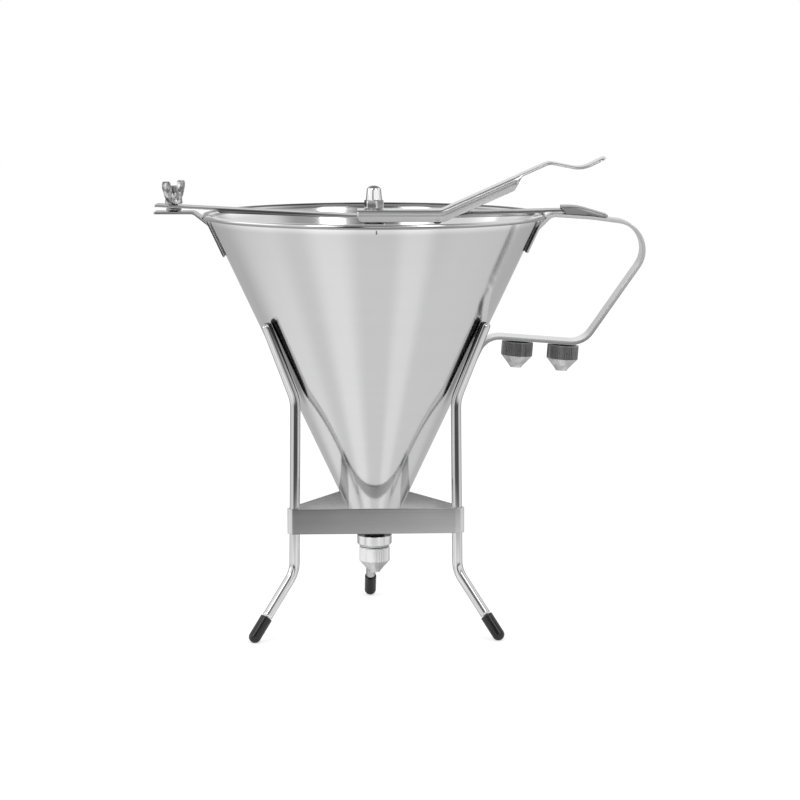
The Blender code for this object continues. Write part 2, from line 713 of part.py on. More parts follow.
def make_wing_nut():
    """A waisted barrel with two flat ears that lean outwards."""
    bore = BOLT_RADIUS + GAP
    seat = (-BOLT_PLACE, 0, WING_BOTTOM)
    nut = turned("wing_nut", [
        (WING_BASE_RADIUS, 0),
        (bore, 0),
        (bore, WING_BASE_LENGTH),
        (WING_NECK_RADIUS, WING_BASE_LENGTH)], cast_steel, seat, (0, 0, WING_TURN))
    ear = rounded([(across * WING_SPAN / 2, up * WING_HEIGHT, WING_ROUND if up > 0.5 else 0)
                   for across, up in WING_OUTLINE_SHARES], closed=True)
    ears = flat("wing_nut_ears", [ear, mirrored(ear)[::-1]], WING_THICKNESS, None, seat,
                (QUARTER_TURN, 0, WING_TURN))
    combine(nut, "UNION", ears)


# Crossbar

def bar_under_path(start, end, drop):
    """The bar's upper surface between two places, lowered."""
    inner = [point for point in BAR_PATH if start < point.x < end]
    points = [Vector((start, height_on(BAR_PATH, start))), *inner,
              Vector((end, height_on(BAR_PATH, end)))]
    return [Vector((point.x, point.y - drop)) for point in points]


def make_crossbar():
    """An inverted channel whose flanges stop inside the rim, with ears for the lever's pin."""
    flange_start = -(RIM_RADIUS - BAR_FLANGE_INSET)
    flange_taper = flange_start - BAR_FLANGE_TAPER
    flange_end = RIM_RADIUS - BAR_FLANGE_END_INSET
    notch = flange_end - BAR_NOTCH
    centre_bottom = BAR_TOP - BAR_FLANGE_CENTRE
    rest = RIM_TOP + GAP
    ear_root = (centre_bottom + BAR_UNDER) / 2
    ear_angle = acos((ear_root - PIVOT_HEIGHT) / EAR_RADIUS)
    ear = arc(Vector((PIVOT_REACH, PIVOT_HEIGHT)), EAR_RADIUS, QUARTER_TURN - ear_angle,
              QUARTER_TURN + ear_angle - FULL_TURN, step=EAR_STEP)
    right_deep = bar_under_path(BAR_PATH[3].x, notch - BAR_NOTCH_SLOPE, BAR_FLANGE_RIGHT)
    left_start = Vector((flange_start, height_on(BAR_PATH, flange_start) - BAR_FLANGE_LEFT))
    outline = [
        *BAR_PATH,
        *bar_under_path(flange_end, BAR_PATH[-1].x, BAR_SHEET)[::-1],
        Vector((flange_end, rest)),
        Vector((notch, rest)),
        *right_deep[::-1],
        Vector((BAR_PATH[2].x, centre_bottom)),
        Vector((BAR_PATH[1].x, centre_bottom)),
        left_start,
        *bar_under_path(-BAR_LEFT_END, flange_taper, BAR_SHEET)[::-1]]
    bar = side_view("crossbar", outline, BAR_WIDTH, satin_steel)
    roof = bar_under_path(flange_taper + GAP, flange_end - GAP, BAR_SHEET)
    low = PIVOT_HEIGHT - EAR_RADIUS - OVERRUN
    channel = [*roof, Vector((flange_end + OVERRUN, rest)), Vector((flange_end + OVERRUN, low)),
               Vector((flange_taper - OVERRUN, low))]
    slot_end = BOLT_PLACE - BAR_LEFT_END - OVERRUN
    bolt_slot = [Vector((slot_end, -BAR_SLOT_RADIUS)),
                 *arc(Vector((0, 0)), BAR_SLOT_RADIUS, -QUARTER_TURN, QUARTER_TURN),
                 Vector((slot_end, BAR_SLOT_RADIUS))]
    combine(bar, "UNION", side_view("ears", ear, BAR_WIDTH))
    combine(bar, "DIFFERENCE",
            side_view("bar_channel", channel, BAR_WIDTH - 2 * BAR_SHEET),
            cylinder("bush_hole", BUSH_NECK_RADIUS + GAP, BAR_UNDER - OVERRUN, BAR_TOP + OVERRUN),
            cross_pin("bar_pin_hole", PIN_HOLE, BAR_WIDTH + OVERRUN),
            flat("bolt_slot", [bolt_slot], 2 * OVERRUN, None,
                 (-BOLT_PLACE, 0, height_on(BAR_PATH, -BOLT_PLACE))))


def cross_pin(name, radius, length, make_material=None):
    """A round bar along Y through the lever's pivot."""
    return cylinder(name, radius, -length / 2, length / 2, (PIVOT_REACH, 0, PIVOT_HEIGHT),
                    (QUARTER_TURN, 0, 0), make_material)


# Lever and its pin

def make_lever():
    """A channel over the crossbar, bent up beyond the pin and drawn out into a thumb tab."""
    half = LEVER_SHEET / 2
    tail = Vector((-LEVER_TAIL, LEVER_TOP - half))
    bend = Vector((PIVOT_REACH + LEVER_BEND_REACH, LEVER_TOP - half))
    crest = bend + LEVER_SLANT * heading(LEVER_SLOPE)
    dip = crest + TAB_FALL_LENGTH * heading(-TAB_FALL)
    tip = dip + TAB_LIFT_LENGTH * heading(TAB_LIFT)
    flange_end = bend + LEVER_FLANGE_RUN * heading(LEVER_SLOPE)
    channel_path = rounded([(*tail, 0), (*bend, LEVER_BEND), (*flange_end, 0)])
    plate_path = channel_path[:-1] + rounded([
        (*flange_end, 0),
        (*crest, TAB_CREST_BEND),
        (*dip, TAB_DIP_BEND),
        (*tip, 0)])
    underside = beside(plate_path, -half)
    lower = beside(channel_path, half - LEVER_DEPTH)
    cut_end = lower[-1] - LEVER_END_CUT * heading(LEVER_SLOPE)
    corner = rounded([(lower[1].x, LEVER_BOTTOM, 0), (-LEVER_TAIL, LEVER_BOTTOM, LEVER_CORNER),
                      (-LEVER_TAIL, LEVER_TOP, 0)])[1:-1]
    outline = [
        *beside(plate_path, half),
        *underside[len(channel_path) - 1:][::-1],
        cut_end,
        *lower[1:-1][::-1],
        *corner]
    pivot = (PIVOT_REACH, 0, PIVOT_HEIGHT)
    lever = side_view("lever", outline, LEVER_WIDTH, satin_steel, pivot)
    roof = underside[:len(channel_path)]
    low = LEVER_BOTTOM - OVERRUN
    room = [Vector((-LEVER_TAIL - OVERRUN, roof[0].y)), *roof[1:],
            Vector((roof[-1].x + OVERRUN, low)), Vector((-LEVER_TAIL - OVERRUN, low))]
    slot_middle = (ROD_SLOT_RIGHT - ROD_SLOT_LEFT) / 2
    slot_half = (ROD_SLOT_RIGHT + ROD_SLOT_LEFT) / 2
    rod_slot = [(slot_half, ROD_SLOT_HALF), (-slot_half, ROD_SLOT_HALF),
                (-slot_half, -ROD_SLOT_HALF), (slot_half, -ROD_SLOT_HALF)]
    rod_slot = rounded([(*corner, ROD_SLOT_HALF / 2) for corner in rod_slot], closed=True)
    combine(lever, "DIFFERENCE",
            side_view("lever_room", room, LEVER_WIDTH - 2 * LEVER_SHEET),
            flat("rod_slot", [rod_slot], LEVER_DEPTH, None, (slot_middle, 0, LEVER_TOP)),
            cross_pin("lever_pin_hole", PIN_HOLE, LEVER_WIDTH + OVERRUN))


def make_pivot_pin():
    """A plain pin whose ends are ground flush with the lever's sides."""
    end = LEVER_WIDTH / 2
    turned("pivot_pin", [
        (0, end),
        (PIVOT_RADIUS - PIVOT_CHAMFER, end),
        (PIVOT_RADIUS, end - PIVOT_CHAMFER),
        (PIVOT_RADIUS, PIVOT_CHAMFER - end),
        (PIVOT_RADIUS - PIVOT_CHAMFER, -end),
        (0, -end)], satin_steel, (PIVOT_REACH, 0, PIVOT_HEIGHT), (QUARTER_TURN, 0, 0), steps=SLIM_STEPS)


# Valve: dome nut, rod, bush, washer, spring, collar and plug

def ring(name, outer, inner, bottom, top, make_material):
    turned(name, [(outer, top), (outer, bottom), (inner, bottom), (inner, top)], make_material)


def make_dome_nut():
    """A hexagon under a slightly tapered dome, bored from below for the rod."""
    dome_edge = DOME_TOP - DOME_ROUND
    crown = [(DOME_TOP_RADIUS * sin(QUARTER_TURN * step / 4),
              dome_edge + DOME_ROUND * cos(QUARTER_TURN * step / 4)) for step in range(5)]
    nut = flat("dome_nut", [hexagon(NUT_FLATS, NUT_TURN)], NUT_LENGTH, polished_steel,
               (0, 0, NUT_BOTTOM + NUT_LENGTH / 2))
    dome = turned("dome", [*crown, (DOME_RADIUS, NUT_TOP), (DOME_RADIUS, NUT_TOP - NUT_LENGTH / 2),
                           (0, NUT_TOP - NUT_LENGTH / 2)])
    combine(nut, "UNION", dome)
    combine(nut, "DIFFERENCE", cylinder("nut_bore", ROD_BORE, NUT_BOTTOM - OVERRUN, ROD_TOP + GAP))


def make_valve():
    bush_neck_top = BAR_TOP + GAP
    cylinder("valve_rod", ROD_RADIUS, PLUG_TOP - PLUG_SOCKET + GAP, ROD_TOP, make_material=satin_steel)
    turned("guide_bush", [
        (BUSH_NECK_RADIUS, bush_neck_top),
        (BUSH_NECK_RADIUS, BUSH_TOP),
        (BUSH_RADIUS, BUSH_TOP),
        (BUSH_RADIUS, BUSH_BOTTOM),
        (ROD_BORE, BUSH_BOTTOM),
        (ROD_BORE, bush_neck_top)], satin_steel)
    ring("spring_washer", WASHER_RADIUS, ROD_BORE, WASHER_BOTTOM, WASHER_TOP, satin_steel)
    collar_top = SPRING_BOTTOM - GAP
    ring("spring_collar", SPRING_COLLAR_RADIUS, ROD_BORE, collar_top - SPRING_COLLAR_LENGTH, collar_top,
         satin_steel)
    turned("valve_plug", [
        (0, PLUG_TOP - PLUG_SOCKET),
        (ROD_BORE, PLUG_TOP - PLUG_SOCKET),
        (ROD_BORE, PLUG_TOP),
        (PLUG_TOP_RADIUS, PLUG_TOP),
        (PLUG_RADIUS, PLUG_TOP - PLUG_TAPER),
        (PLUG_RADIUS, PLUG_SHOULDER),
        (PLUG_NOSE_RADIUS, PLUG_NOSE),
        (0, PLUG_NOSE)], black_rubber)


def make_spring():
    """One wire wound at an even pitch, with each end run straight to what it bears on."""
    wound_top = SPRING_TOP - SPRING_WIRE
    pitch = (SPRING_LENGTH - 2 * SPRING_WIRE) / SPRING_CURLS
    count = SPRING_CURLS * CURL_POINTS
    coil = []
    for index in range(count + 1):
        across = SPRING_MEAN_RADIUS * heading(FULL_TURN * index / CURL_POINTS)
        coil.append(Vector((across.x, across.y, wound_top - pitch * index / CURL_POINTS)))
    end_run = Vector((0, 0, SPRING_WIRE))
    path = [coil[0] + end_run, *coil, coil[-1] - end_run]
    print("return_spring: least gap to itself %.2f mm" % ((least_pitch(path) - SPRING_WIRE) / MILLIMETRE))
    seat = Vector((0, 0, SPRING_TOP))
    wire("return_spring", [point - seat for point in path], SPRING_WIRE / 2, SPRING_FINENESS,
         satin_steel, seat)


def least_pitch(path):
    """The smallest distance between points of the wire that lie half a curl or more apart."""
    apart = CURL_POINTS // 2
    return min((first - second).length for index, first in enumerate(path)
               for second in path[index + apart:])


# Stand

def leg_path():
    """A leg in its own plane, (reach, height): up along the cone, down, and out to the foot."""
    top = cone_line(WIRE_RADIUS + GAP) - LEG_DROP / cos(CONE_HALF_ANGLE) * CONE_UPWARD
    leaning = heading(QUARTER_TURN - LEG_LEAN)
    at_band = Vector((LEG_RADIUS, BAND_MIDDLE))
    shank = heading(QUARTER_TURN + SHANK_SPLAY)
    upper = crossing(top, leaning, at_band, shank)
    ball = Vector((FOOT_REACH, FOOT_RADIUS - FOOT_FLAT))
    up_leg = heading(QUARTER_TURN + SPLAY_ANGLE)
    lower = crossing(ball, up_leg, at_band, shank)
    tip_face = ball + (FOOT_LENGTH - FOOT_RADIUS) * up_leg
    path = rounded([
        (*top, 0),
        (*upper, UPPER_BEND),
        (*lower, LOWER_BEND),
        (*(tip_face + 2 * GAP * up_leg), 0)])
    shares = [1.0] * len(path)
    dome = [(top + WIRE_END_ROUND * sin(angle) * leaning, cos(angle))
            for angle in WIRE_END_ANGLES]
    tenon_share = TENON_RADIUS / WIRE_RADIUS
    path = [point for point, share in dome] + path
    shares = [share for point, share in dome] + shares
    path += [tip_face + GAP * up_leg, tip_face - TENON_LENGTH * up_leg]
    shares += [tenon_share, tenon_share]
    return path, shares, ball


def make_stand():
    path, shares, ball = leg_path()
    floor = bpy.data.meshes.new("floor_cut")
    shape = bmesh.new()
    bmesh.ops.create_cube(shape, size=2 * FOOT_REACH + 2 * FOOT_LENGTH)
    shape.to_mesh(floor)
    shape.free()
    floor_cut = put("floor_cut", floor, None, (0, 0, -FOOT_REACH - FOOT_LENGTH), (0, 0, 0), STAND_AXIS)
    side = FOOT_LENGTH - FOOT_RADIUS
    socket = TENON_RADIUS + GAP
    ball_arc = arc(Vector((0, 0)), FOOT_RADIUS, 0, -QUARTER_TURN, step=BALL_STEP)
    foot_profile = [
        (0, side - TENON_LENGTH - GAP),
        (socket, side - TENON_LENGTH - GAP),
        (socket, side),
        (FOOT_RADIUS - GAP, side),
        (FOOT_RADIUS, side - GAP),
        *[tuple(point) for point in ball_arc[:-1]],
        (0, -FOOT_RADIUS)]
    for corner, azimuth in LEG_AZIMUTHS.items():
        plane = new_parent(corner + "_plane", turn=azimuth, parent=STAND_AXIS)
        wire(corner + "_leg", [(point.x, 0, point.y) for point in path], WIRE_RADIUS, WIRE_FINENESS,
             polished_steel, parent=plane, shares=shares)
        foot = turned(corner + "_foot", foot_profile, black_rubber, (ball.x, 0, ball.y),
                      (0, -SPLAY_ANGLE, 0), plane, steps=SLIM_STEPS)
        combine(foot, "DIFFERENCE", floor_cut)


def make_band():
    """A flat strip bent round the outside of the three legs."""
    loops = []
    for radius in (WIRE_RADIUS + GAP + BAND_SHEET, WIRE_RADIUS + GAP):
        loop = []
        for azimuth in sorted(LEG_AZIMUTHS.values()):
            spread = FULL_TURN / 6
            loop += arc(LEG_RADIUS * heading(azimuth), radius, azimuth - spread, azimuth + spread,
                        step=BAND_STEP)
        loops.append(loop)
    flat("leg_band", loops, BAND_HEIGHT, satin_steel, (0, 0, BAND_MIDDLE), parent=STAND_AXIS)


make_cone()
make_outlet()
make_nozzles()
make_handle()
make_hood()
make_bracket()
make_lock_nut()
make_wing_nut()
make_crossbar()
make_lever()
make_pivot_pin()
make_dome_nut()
make_valve()
make_spring()
make_stand()
make_band()
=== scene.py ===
"""Looks of the dispensing funnel: steel cone, lever valve, strip handle and wire stand.

Metres, +Z up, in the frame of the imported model. Heights are measured from the floor, and reaches
from the funnel's own axis or, where the comment says so, from the rim.
"""

from math import acos, atan2, ceil, cos, pi, radians, sin, tan

import bmesh
import bpy
import numpy as np
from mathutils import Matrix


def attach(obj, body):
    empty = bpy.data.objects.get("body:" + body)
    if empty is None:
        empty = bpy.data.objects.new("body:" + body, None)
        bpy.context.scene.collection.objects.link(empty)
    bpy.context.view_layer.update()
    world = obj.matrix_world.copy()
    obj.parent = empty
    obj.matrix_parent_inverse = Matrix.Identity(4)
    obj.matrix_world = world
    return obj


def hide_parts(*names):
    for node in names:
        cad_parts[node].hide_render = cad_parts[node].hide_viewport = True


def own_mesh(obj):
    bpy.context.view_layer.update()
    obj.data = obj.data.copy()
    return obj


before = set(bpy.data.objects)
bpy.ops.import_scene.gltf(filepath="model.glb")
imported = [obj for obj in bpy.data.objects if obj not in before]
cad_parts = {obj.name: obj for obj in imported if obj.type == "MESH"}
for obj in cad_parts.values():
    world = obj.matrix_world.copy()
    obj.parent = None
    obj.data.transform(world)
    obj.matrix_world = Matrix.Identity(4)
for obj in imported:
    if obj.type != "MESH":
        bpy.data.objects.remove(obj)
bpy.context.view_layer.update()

GAP = 0.0003
FULL_TURN = 2 * pi
QUARTER_TURN = pi / 2

# Fineness
BEND_STEP = radians(5)
EDGE_ANGLES = np.radians([0, 30, 60, 90])
MERGE_DISTANCE = 0.000001
WALK_STEP = 0.0006
ROUND_STEPS = 96
STRIP_COLUMNS = 13
FLANGE_COLUMNS = 3
FOLD_COLUMNS = 9
WIRE_SIDES = 40
FOOT_SIDES = 48
SPRING_SIDES = 12
SPRING_STEPS = 32
EDGE_LIMIT_SHARE = 0.49
CREASE_FADE_SHARE = 0.25
HEXAGON_SHARPNESS = 90

# Funnel cone
RIM_RADIUS = 0.100
RIM_BEAD = 0.00145
BEAD_START = radians(160.0)
BEAD_END = radians(-130.0)
CONE_HALF_ANGLE = radians(25.05)
CONE_SHEET = 0.0010
CONE_STEPS = 288
TICK_PLACE = 0.0024
TICK_WIDTH = 0.0006
TICK_LENGTH = 0.0020
TICK_DROP = 0.0017
# Height of the painted highlight strip below the bead
UNDER_BEAD_HIGHLIGHT = 0.0040
# Width and fade of the painted shade in the gap beside the cone
GAP_SHADE_WIDTH = 0.0017
DARK_LINE_FADE = 0.0003

# Outlet
TIP_CLEARANCE = 0.0326
TIP_LENGTH = 0.0072
TIP_RADIUS = 0.0037
TIP_BORE = 0.0021
TIP_LAND = 0.0015
TIP_ROUND = 0.0008
NOZZLE_RADIUS = 0.0092
NOZZLE_BODY = 0.0082
NOZZLE_CHAMFER = 0.0006
KNURL_COUNT = 48
KNURL_DEPTH = 0.00034
THREAD_RADIUS = 0.0062
THREAD_LENGTH = 0.0065
COLLAR_RADIUS = 0.0103
COLLAR_LENGTH = 0.0068
COLLAR_CHAMFER = 0.0018
SEAL_RADIUS = 0.0062
SEAL_LENGTH = 0.0020
SEAL_WALL = 0.0011
FLANGE_RADIUS = 0.0103
FLANGE_LENGTH = 0.0010
OUTLET_BORE = 0.0042
SEAT_DEPTH = 0.0008
EDGE_BREAK = 0.00025

# Valve rod and what it carries
ROD_RADIUS = 0.0030
PLUG_RADIUS = 0.0073
PLUG_NOSE_RADIUS = 0.0036
PLUG_BODY = 0.0045
PLUG_TOP_RADIUS = 0.0046
PLUG_TAPER = 0.0035
PLUG_SOCKET = 0.0060
SPRING_COLLAR_RADIUS = 0.0058
SPRING_COLLAR_LENGTH = 0.0040
SPRING_LENGTH = 0.0450
SPRING_WIRE = 0.0010
SPRING_MEAN_RADIUS = 0.0040
SPRING_CURLS = 11
WASHER_RADIUS = 0.0063
WASHER_LENGTH = 0.0010
BUSH_RADIUS = 0.0050
BUSH_LENGTH = 0.0037
BUSH_NECK_RADIUS = 0.0040
NUT_FLATS = 0.0102
NUT_LENGTH = 0.0052
NUT_TURN = radians(-13.7)
NUT_CHAMFER = 0.0005
NUT_UNDERSIDE_SHARE = 0.97
NUT_FACE_SHARE = 0.96
DOME_RADIUS = 0.0047
DOME_TOP_RADIUS = 0.0042
DOME_LENGTH = 0.0082
DOME_ROUND = 0.0026
CROWN_HEIGHT = 0.0015

# Crossbar
BAR_WIDTH = 0.0160
BAR_SHEET = 0.0012
BAR_FOLD = 0.0018
BAR_CENTRE_RISE = 0.0009
BAR_LEFT_OVERHANG = 0.0270
BAR_LEFT_RISE = 0.0058
BAR_LEFT_KNEE = 0.0120
BAR_RIGHT_KNEE = 0.0062
BAR_KNEE_RUN = 0.0140
BAR_KNEE_RISE = 0.0018
BAR_KNEE_BEND = 0.0300
BAR_TONGUE_OVERHANG = 0.0080
BAR_TONGUE_RISE = 0.0030
BAR_TONGUE_LENGTH = 0.0085
BAR_TONGUE_DROP = 0.0008
BAR_FLANGE_INSET = 0.0110
BAR_FLANGE_TAPER = 0.0048
BAR_FLANGE_LEFT = 0.0031
BAR_FLANGE_CENTRE = 0.0021
BAR_FLANGE_RIGHT = 0.0034
BAR_FLANGE_END_INSET = 0.0006
BAR_NOTCH = 0.0055
BAR_NOTCH_SLOPE = 0.0020
BAR_SLOT_RADIUS = 0.0029
EAR_RADIUS = 0.0031

# Lever
LEVER_WIDTH = 0.0200
LEVER_SHEET = 0.0014
LEVER_FOLD = 0.0026
LEVER_CREASE = 0.0036
LEVER_CREASE_OUT = 0.0004
LEVER_DEPTH = 0.0070
LEVER_TAIL = 0.0095
LEVER_SWING_ROOM = 0.0013
LEVER_CORNER = 0.0030
LEVER_BEND_REACH = 0.0022
LEVER_BEND = 0.0060
LEVER_SLOPE = radians(24.0)
LEVER_SLANT = 0.0686
LEVER_FLANGE_RUN = 0.0530
LEVER_END_CUT = 0.0098
PIVOT_REACH = 0.0369
PIVOT_RADIUS = 0.0010
PIVOT_PROUD = 0.00005
ROD_SLOT_LEFT = 0.0062
ROD_SLOT_RIGHT = 0.0034
ROD_SLOT_HALF = 0.0034
TAB_FALL = radians(11.3)
TAB_FALL_LENGTH = 0.0192
TAB_LIFT = radians(26.0)
TAB_LIFT_LENGTH = 0.0148
TAB_CREST_BEND = 0.0080
TAB_DIP_BEND = 0.0160
TAB_CORNER = 0.0045

# Handle, one bent strip; its reaches and drops are measured from the rim
HANDLE_WIDTH = 0.0200
HANDLE_SHEET = 0.0020
HANDLE_EDGE = 0.0002
HANDLE_LEAN = radians(45.0)
UPPER_FOOT = 0.0150
FOOT_BEND = 0.0060
CREST_SLOPE = radians(3.8)
CREST_BEND = 0.0060
KNEE_REACH = 0.0264
KNEE_DROP = 0.0009
KNEE_BEND = 0.0600
UPPER_CORNER_REACH = 0.0695
UPPER_CORNER_DROP = 0.0067
UPPER_CORNER_BEND = 0.0168
LOWER_CORNER_REACH = 0.0226
LOWER_CORNER_DROP = 0.0746
LOWER_CORNER_BEND = 0.0140
LOWER_RUN_SLOPE = radians(4.2)
LOWER_FOOT = 0.0240
LOWER_FOOT_BEND = 0.0125

# Hood on the handle and studs under it
HOOD_REACH = 0.0094
HOOD_LENGTH = 0.0262
HOOD_HEIGHT = 0.0042
HOOD_SHEET = 0.0013
HOOD_FOLD = 0.0017
HOOD_FLAT = 0.0091
HOOD_BEND = 0.0300
HOOD_NOTCH = 0.0022
STUD_SETBACK = 0.0113
STUD_SPACING = 0.0269
STUD_LENGTH = 0.0058
STUD_SHOULDER = 0.0005
STUD_SHOULDER_RADIUS = 0.0076

# Bracket, clamp bolt, lock nut and wing nut; the overhangs are beyond the rim
BRACKET_WIDTH = 0.0160
BRACKET_SHEET = 0.0015
BRACKET_LEAN = radians(38.0)
BRACKET_FOOT = 0.0200
BRACKET_OVERHANG = 0.0275
BRACKET_BEND = 0.0040
BOLT_OVERHANG = 0.0167
BOLT_RADIUS = 0.0025
BOLT_PITCH = 0.0008
BOLT_THREAD_DEPTH = 0.0004
BOLT_HEAD_RADIUS = 0.0036
BOLT_ABOVE_BAR = 0.0105
LOCK_NUT_FLATS = 0.0080
LOCK_NUT_LENGTH = 0.0017
LOCK_NUT_TURN = radians(20.0)
WING_BASE_RADIUS = 0.0053
WING_NECK_RADIUS = 0.0043
WING_BASE_LENGTH = 0.0068
WING_SPAN = 0.0226
WING_HEIGHT = 0.0133
WING_THICKNESS = 0.0030
WING_ROUND = 0.0018
WING_TURN = radians(65.0)
WING_GRAIN = 0.00026
WING_OUTLINE_SHARES = ((0.27, 0.06), (0.48, 0.06), (0.74, 0.33), (1.00, 0.76), (0.95, 1.00),
                       (0.56, 1.00), (0.36, 0.56), (0.28, 0.30))

# Stand
STAND_TURN = radians(2.5)
WIRE_RADIUS = 0.0030
WIRE_END_ROUND = 0.0016
LEG_DROP = 0.0607
LEG_LEAN = radians(22.8)
LEG_RADIUS = 0.0546
UPPER_BEND = 0.0240
SHANK_SPLAY = radians(0.77)
SPLAY_ANGLE = radians(36.9)
LOWER_BEND = 0.0160
FOOT_RADIUS = 0.0036
FOOT_LENGTH = 0.0168
FOOT_FLAT = 0.0003
FOOT_LIP = 0.0006
FOOT_REACH = 0.0817
TENON_RADIUS = 0.0019
TENON_LENGTH = 0.0080
BAND_HEIGHT = 0.0148
BAND_TOP = 0.0764
BAND_SHEET = 0.0010
BAND_FRONT = 0.0300
# Sizes of the painted shade where the legs and the cone meet
CONTACT_SHADE_FADE = 0.0008
CONTACT_SHADE_HALF = 0.0020
CONTACT_SHADE_LENGTH = 0.0520
LEG_AZIMUTHS = {"front_left": radians(210.0), "front_right": radians(330.0), "rear": radians(90.0)}


# Plane geometry: a point is (across, up), a path is an array of points

def unit(vectors):
    return vectors / np.maximum(np.linalg.norm(vectors, axis=-1, keepdims=True), MERGE_DISTANCE ** 2)


def turned_left(vectors):
    return np.stack([-vectors[..., 1], vectors[..., 0]], -1)


def heading(angle):
    return np.array([cos(angle), sin(angle)])


def crossing(point, direction, other, other_direction):
    """The point where two lines of one plane meet."""
    between = other - point
    spread = direction[0] * other_direction[1] - direction[1] * other_direction[0]
    return point + direction * (between[0] * other_direction[1] - between[1] * other_direction[0]) / spread


def arc(centre, radius, start, end):
    """Centre plus radius times the heading, for angles at even steps."""
    angles = np.linspace(start, end, max(2, ceil(abs(end - start) / BEND_STEP) + 1))
    return np.asarray(centre) + radius * np.stack([np.cos(angles), np.sin(angles)], -1)


def rounded(corners, closed=False):
    """Straight runs through corners (across, up, bend radius), with the circle that touches both runs."""
    places = np.array([corner[:2] for corner in corners], dtype=float)
    pieces = []
    for index, place in enumerate(places):
        bend = corners[index][2]
        if bend == 0 or (not closed and index in (0, len(places) - 1)):
            pieces.append(place[None])
            continue
        arriving = unit(place - places[index - 1])
        leaving = unit(places[(index + 1) % len(places)] - place)
        turn = atan2(arriving[0] * leaving[1] - arriving[1] * leaving[0], arriving @ leaving)
        touch = place - arriving * bend * tan(abs(turn) / 2)
        centre = touch + np.sign(turn) * bend * turned_left(arriving)
        spoke = touch - centre
        start = atan2(spoke[1], spoke[0])
        pieces.append(arc(centre, bend, start, start + turn))
    return np.concatenate(pieces)


def lengths_along(path):
    return np.concatenate([[0], np.cumsum(np.linalg.norm(np.diff(path, axis=0), axis=1))])


def walked(path, step=WALK_STEP):
    """The path's points at even steps of its own length."""
    along = lengths_along(path)
    wanted = np.linspace(0, along[-1], ceil(along[-1] / step) + 1)
    return np.stack([np.interp(wanted, along, path[:, axis]) for axis in (0, 1)], -1)


def normals_of(path):
    """The left side of the direction of travel."""
    return turned_left(unit(np.gradient(path, axis=0)))


def cone_line(offset):
    """A point at rim height on the line that runs beside the cone's outside."""
    return np.array([RIM_RADIUS - 2 * RIM_BEAD + offset / cos(CONE_HALF_ANGLE), RIM_HEIGHT])


def cone_radius(height):
    return (height - APEX_HEIGHT) * tan(CONE_HALF_ANGLE)


def fillets(corners, radius=EDGE_BREAK):
    """A closed profile with every corner rounded alike, but corners on the axis kept."""
    return rounded([(across, up, 0 if across == 0 else radius) for across, up in corners], closed=True)


# Heights and places that follow from the sizes

NOZZLE_TOP = TIP_CLEARANCE + TIP_LENGTH + NOZZLE_BODY
COLLAR_BOTTOM = NOZZLE_TOP + GAP
COLLAR_TOP = COLLAR_BOTTOM + COLLAR_LENGTH
FLANGE_BOTTOM = COLLAR_TOP + SEAL_LENGTH + 2 * GAP
FLANGE_TOP = FLANGE_BOTTOM + FLANGE_LENGTH
CONE_BOTTOM = FLANGE_TOP + GAP
APEX_HEIGHT = CONE_BOTTOM - FLANGE_RADIUS / tan(CONE_HALF_ANGLE)
RIM_HEIGHT = APEX_HEIGHT + (RIM_RADIUS - 2 * RIM_BEAD) / tan(CONE_HALF_ANGLE)
RIM_TOP = RIM_HEIGHT + RIM_BEAD
BEAD_CENTRE = np.array([RIM_RADIUS - RIM_BEAD, RIM_HEIGHT])
CONE_UPWARD = np.array([sin(CONE_HALF_ANGLE), cos(CONE_HALF_ANGLE)])
BAR_TOP = RIM_HEIGHT + BAR_CENTRE_RISE
BAR_UNDER = BAR_TOP - BAR_SHEET
PIVOT_HEIGHT = BAR_UNDER - GAP - PIVOT_RADIUS
LEVER_TOP = BAR_TOP + LEVER_SWING_ROOM + LEVER_SHEET
NUT_BOTTOM = LEVER_TOP + GAP
NUT_TOP = NUT_BOTTOM + NUT_LENGTH
DOME_TOP = NUT_TOP + DOME_LENGTH
ROD_TOP = DOME_TOP - DOME_ROUND
ROD_BORE = ROD_RADIUS + GAP
BUSH_TOP = BAR_UNDER - GAP
BUSH_BOTTOM = BUSH_TOP - BUSH_LENGTH
WASHER_TOP = BUSH_BOTTOM - GAP
WASHER_BOTTOM = WASHER_TOP - WASHER_LENGTH
SPRING_TOP = WASHER_BOTTOM - GAP
SPRING_BOTTOM = SPRING_TOP - SPRING_LENGTH
SEAT_RADIUS = OUTLET_BORE + SEAT_DEPTH
PLUG_CONTACT = FLANGE_TOP + GAP / cos(QUARTER_TURN / 2)
PLUG_NOSE = PLUG_CONTACT - (SEAT_RADIUS - PLUG_NOSE_RADIUS)
PLUG_SHOULDER = PLUG_CONTACT + PLUG_RADIUS - SEAT_RADIUS
PLUG_TOP = PLUG_SHOULDER + PLUG_BODY + PLUG_TAPER
BAR_LEFT_END = RIM_RADIUS + BAR_LEFT_OVERHANG
BOLT_PLACE = RIM_RADIUS + BOLT_OVERHANG
BRACKET_END = RIM_RADIUS + BRACKET_OVERHANG
HOOD_START = RIM_RADIUS + HOOD_REACH
HOOD_END = HOOD_START + HOOD_LENGTH
BAND_MIDDLE = BAND_TOP - BAND_HEIGHT / 2

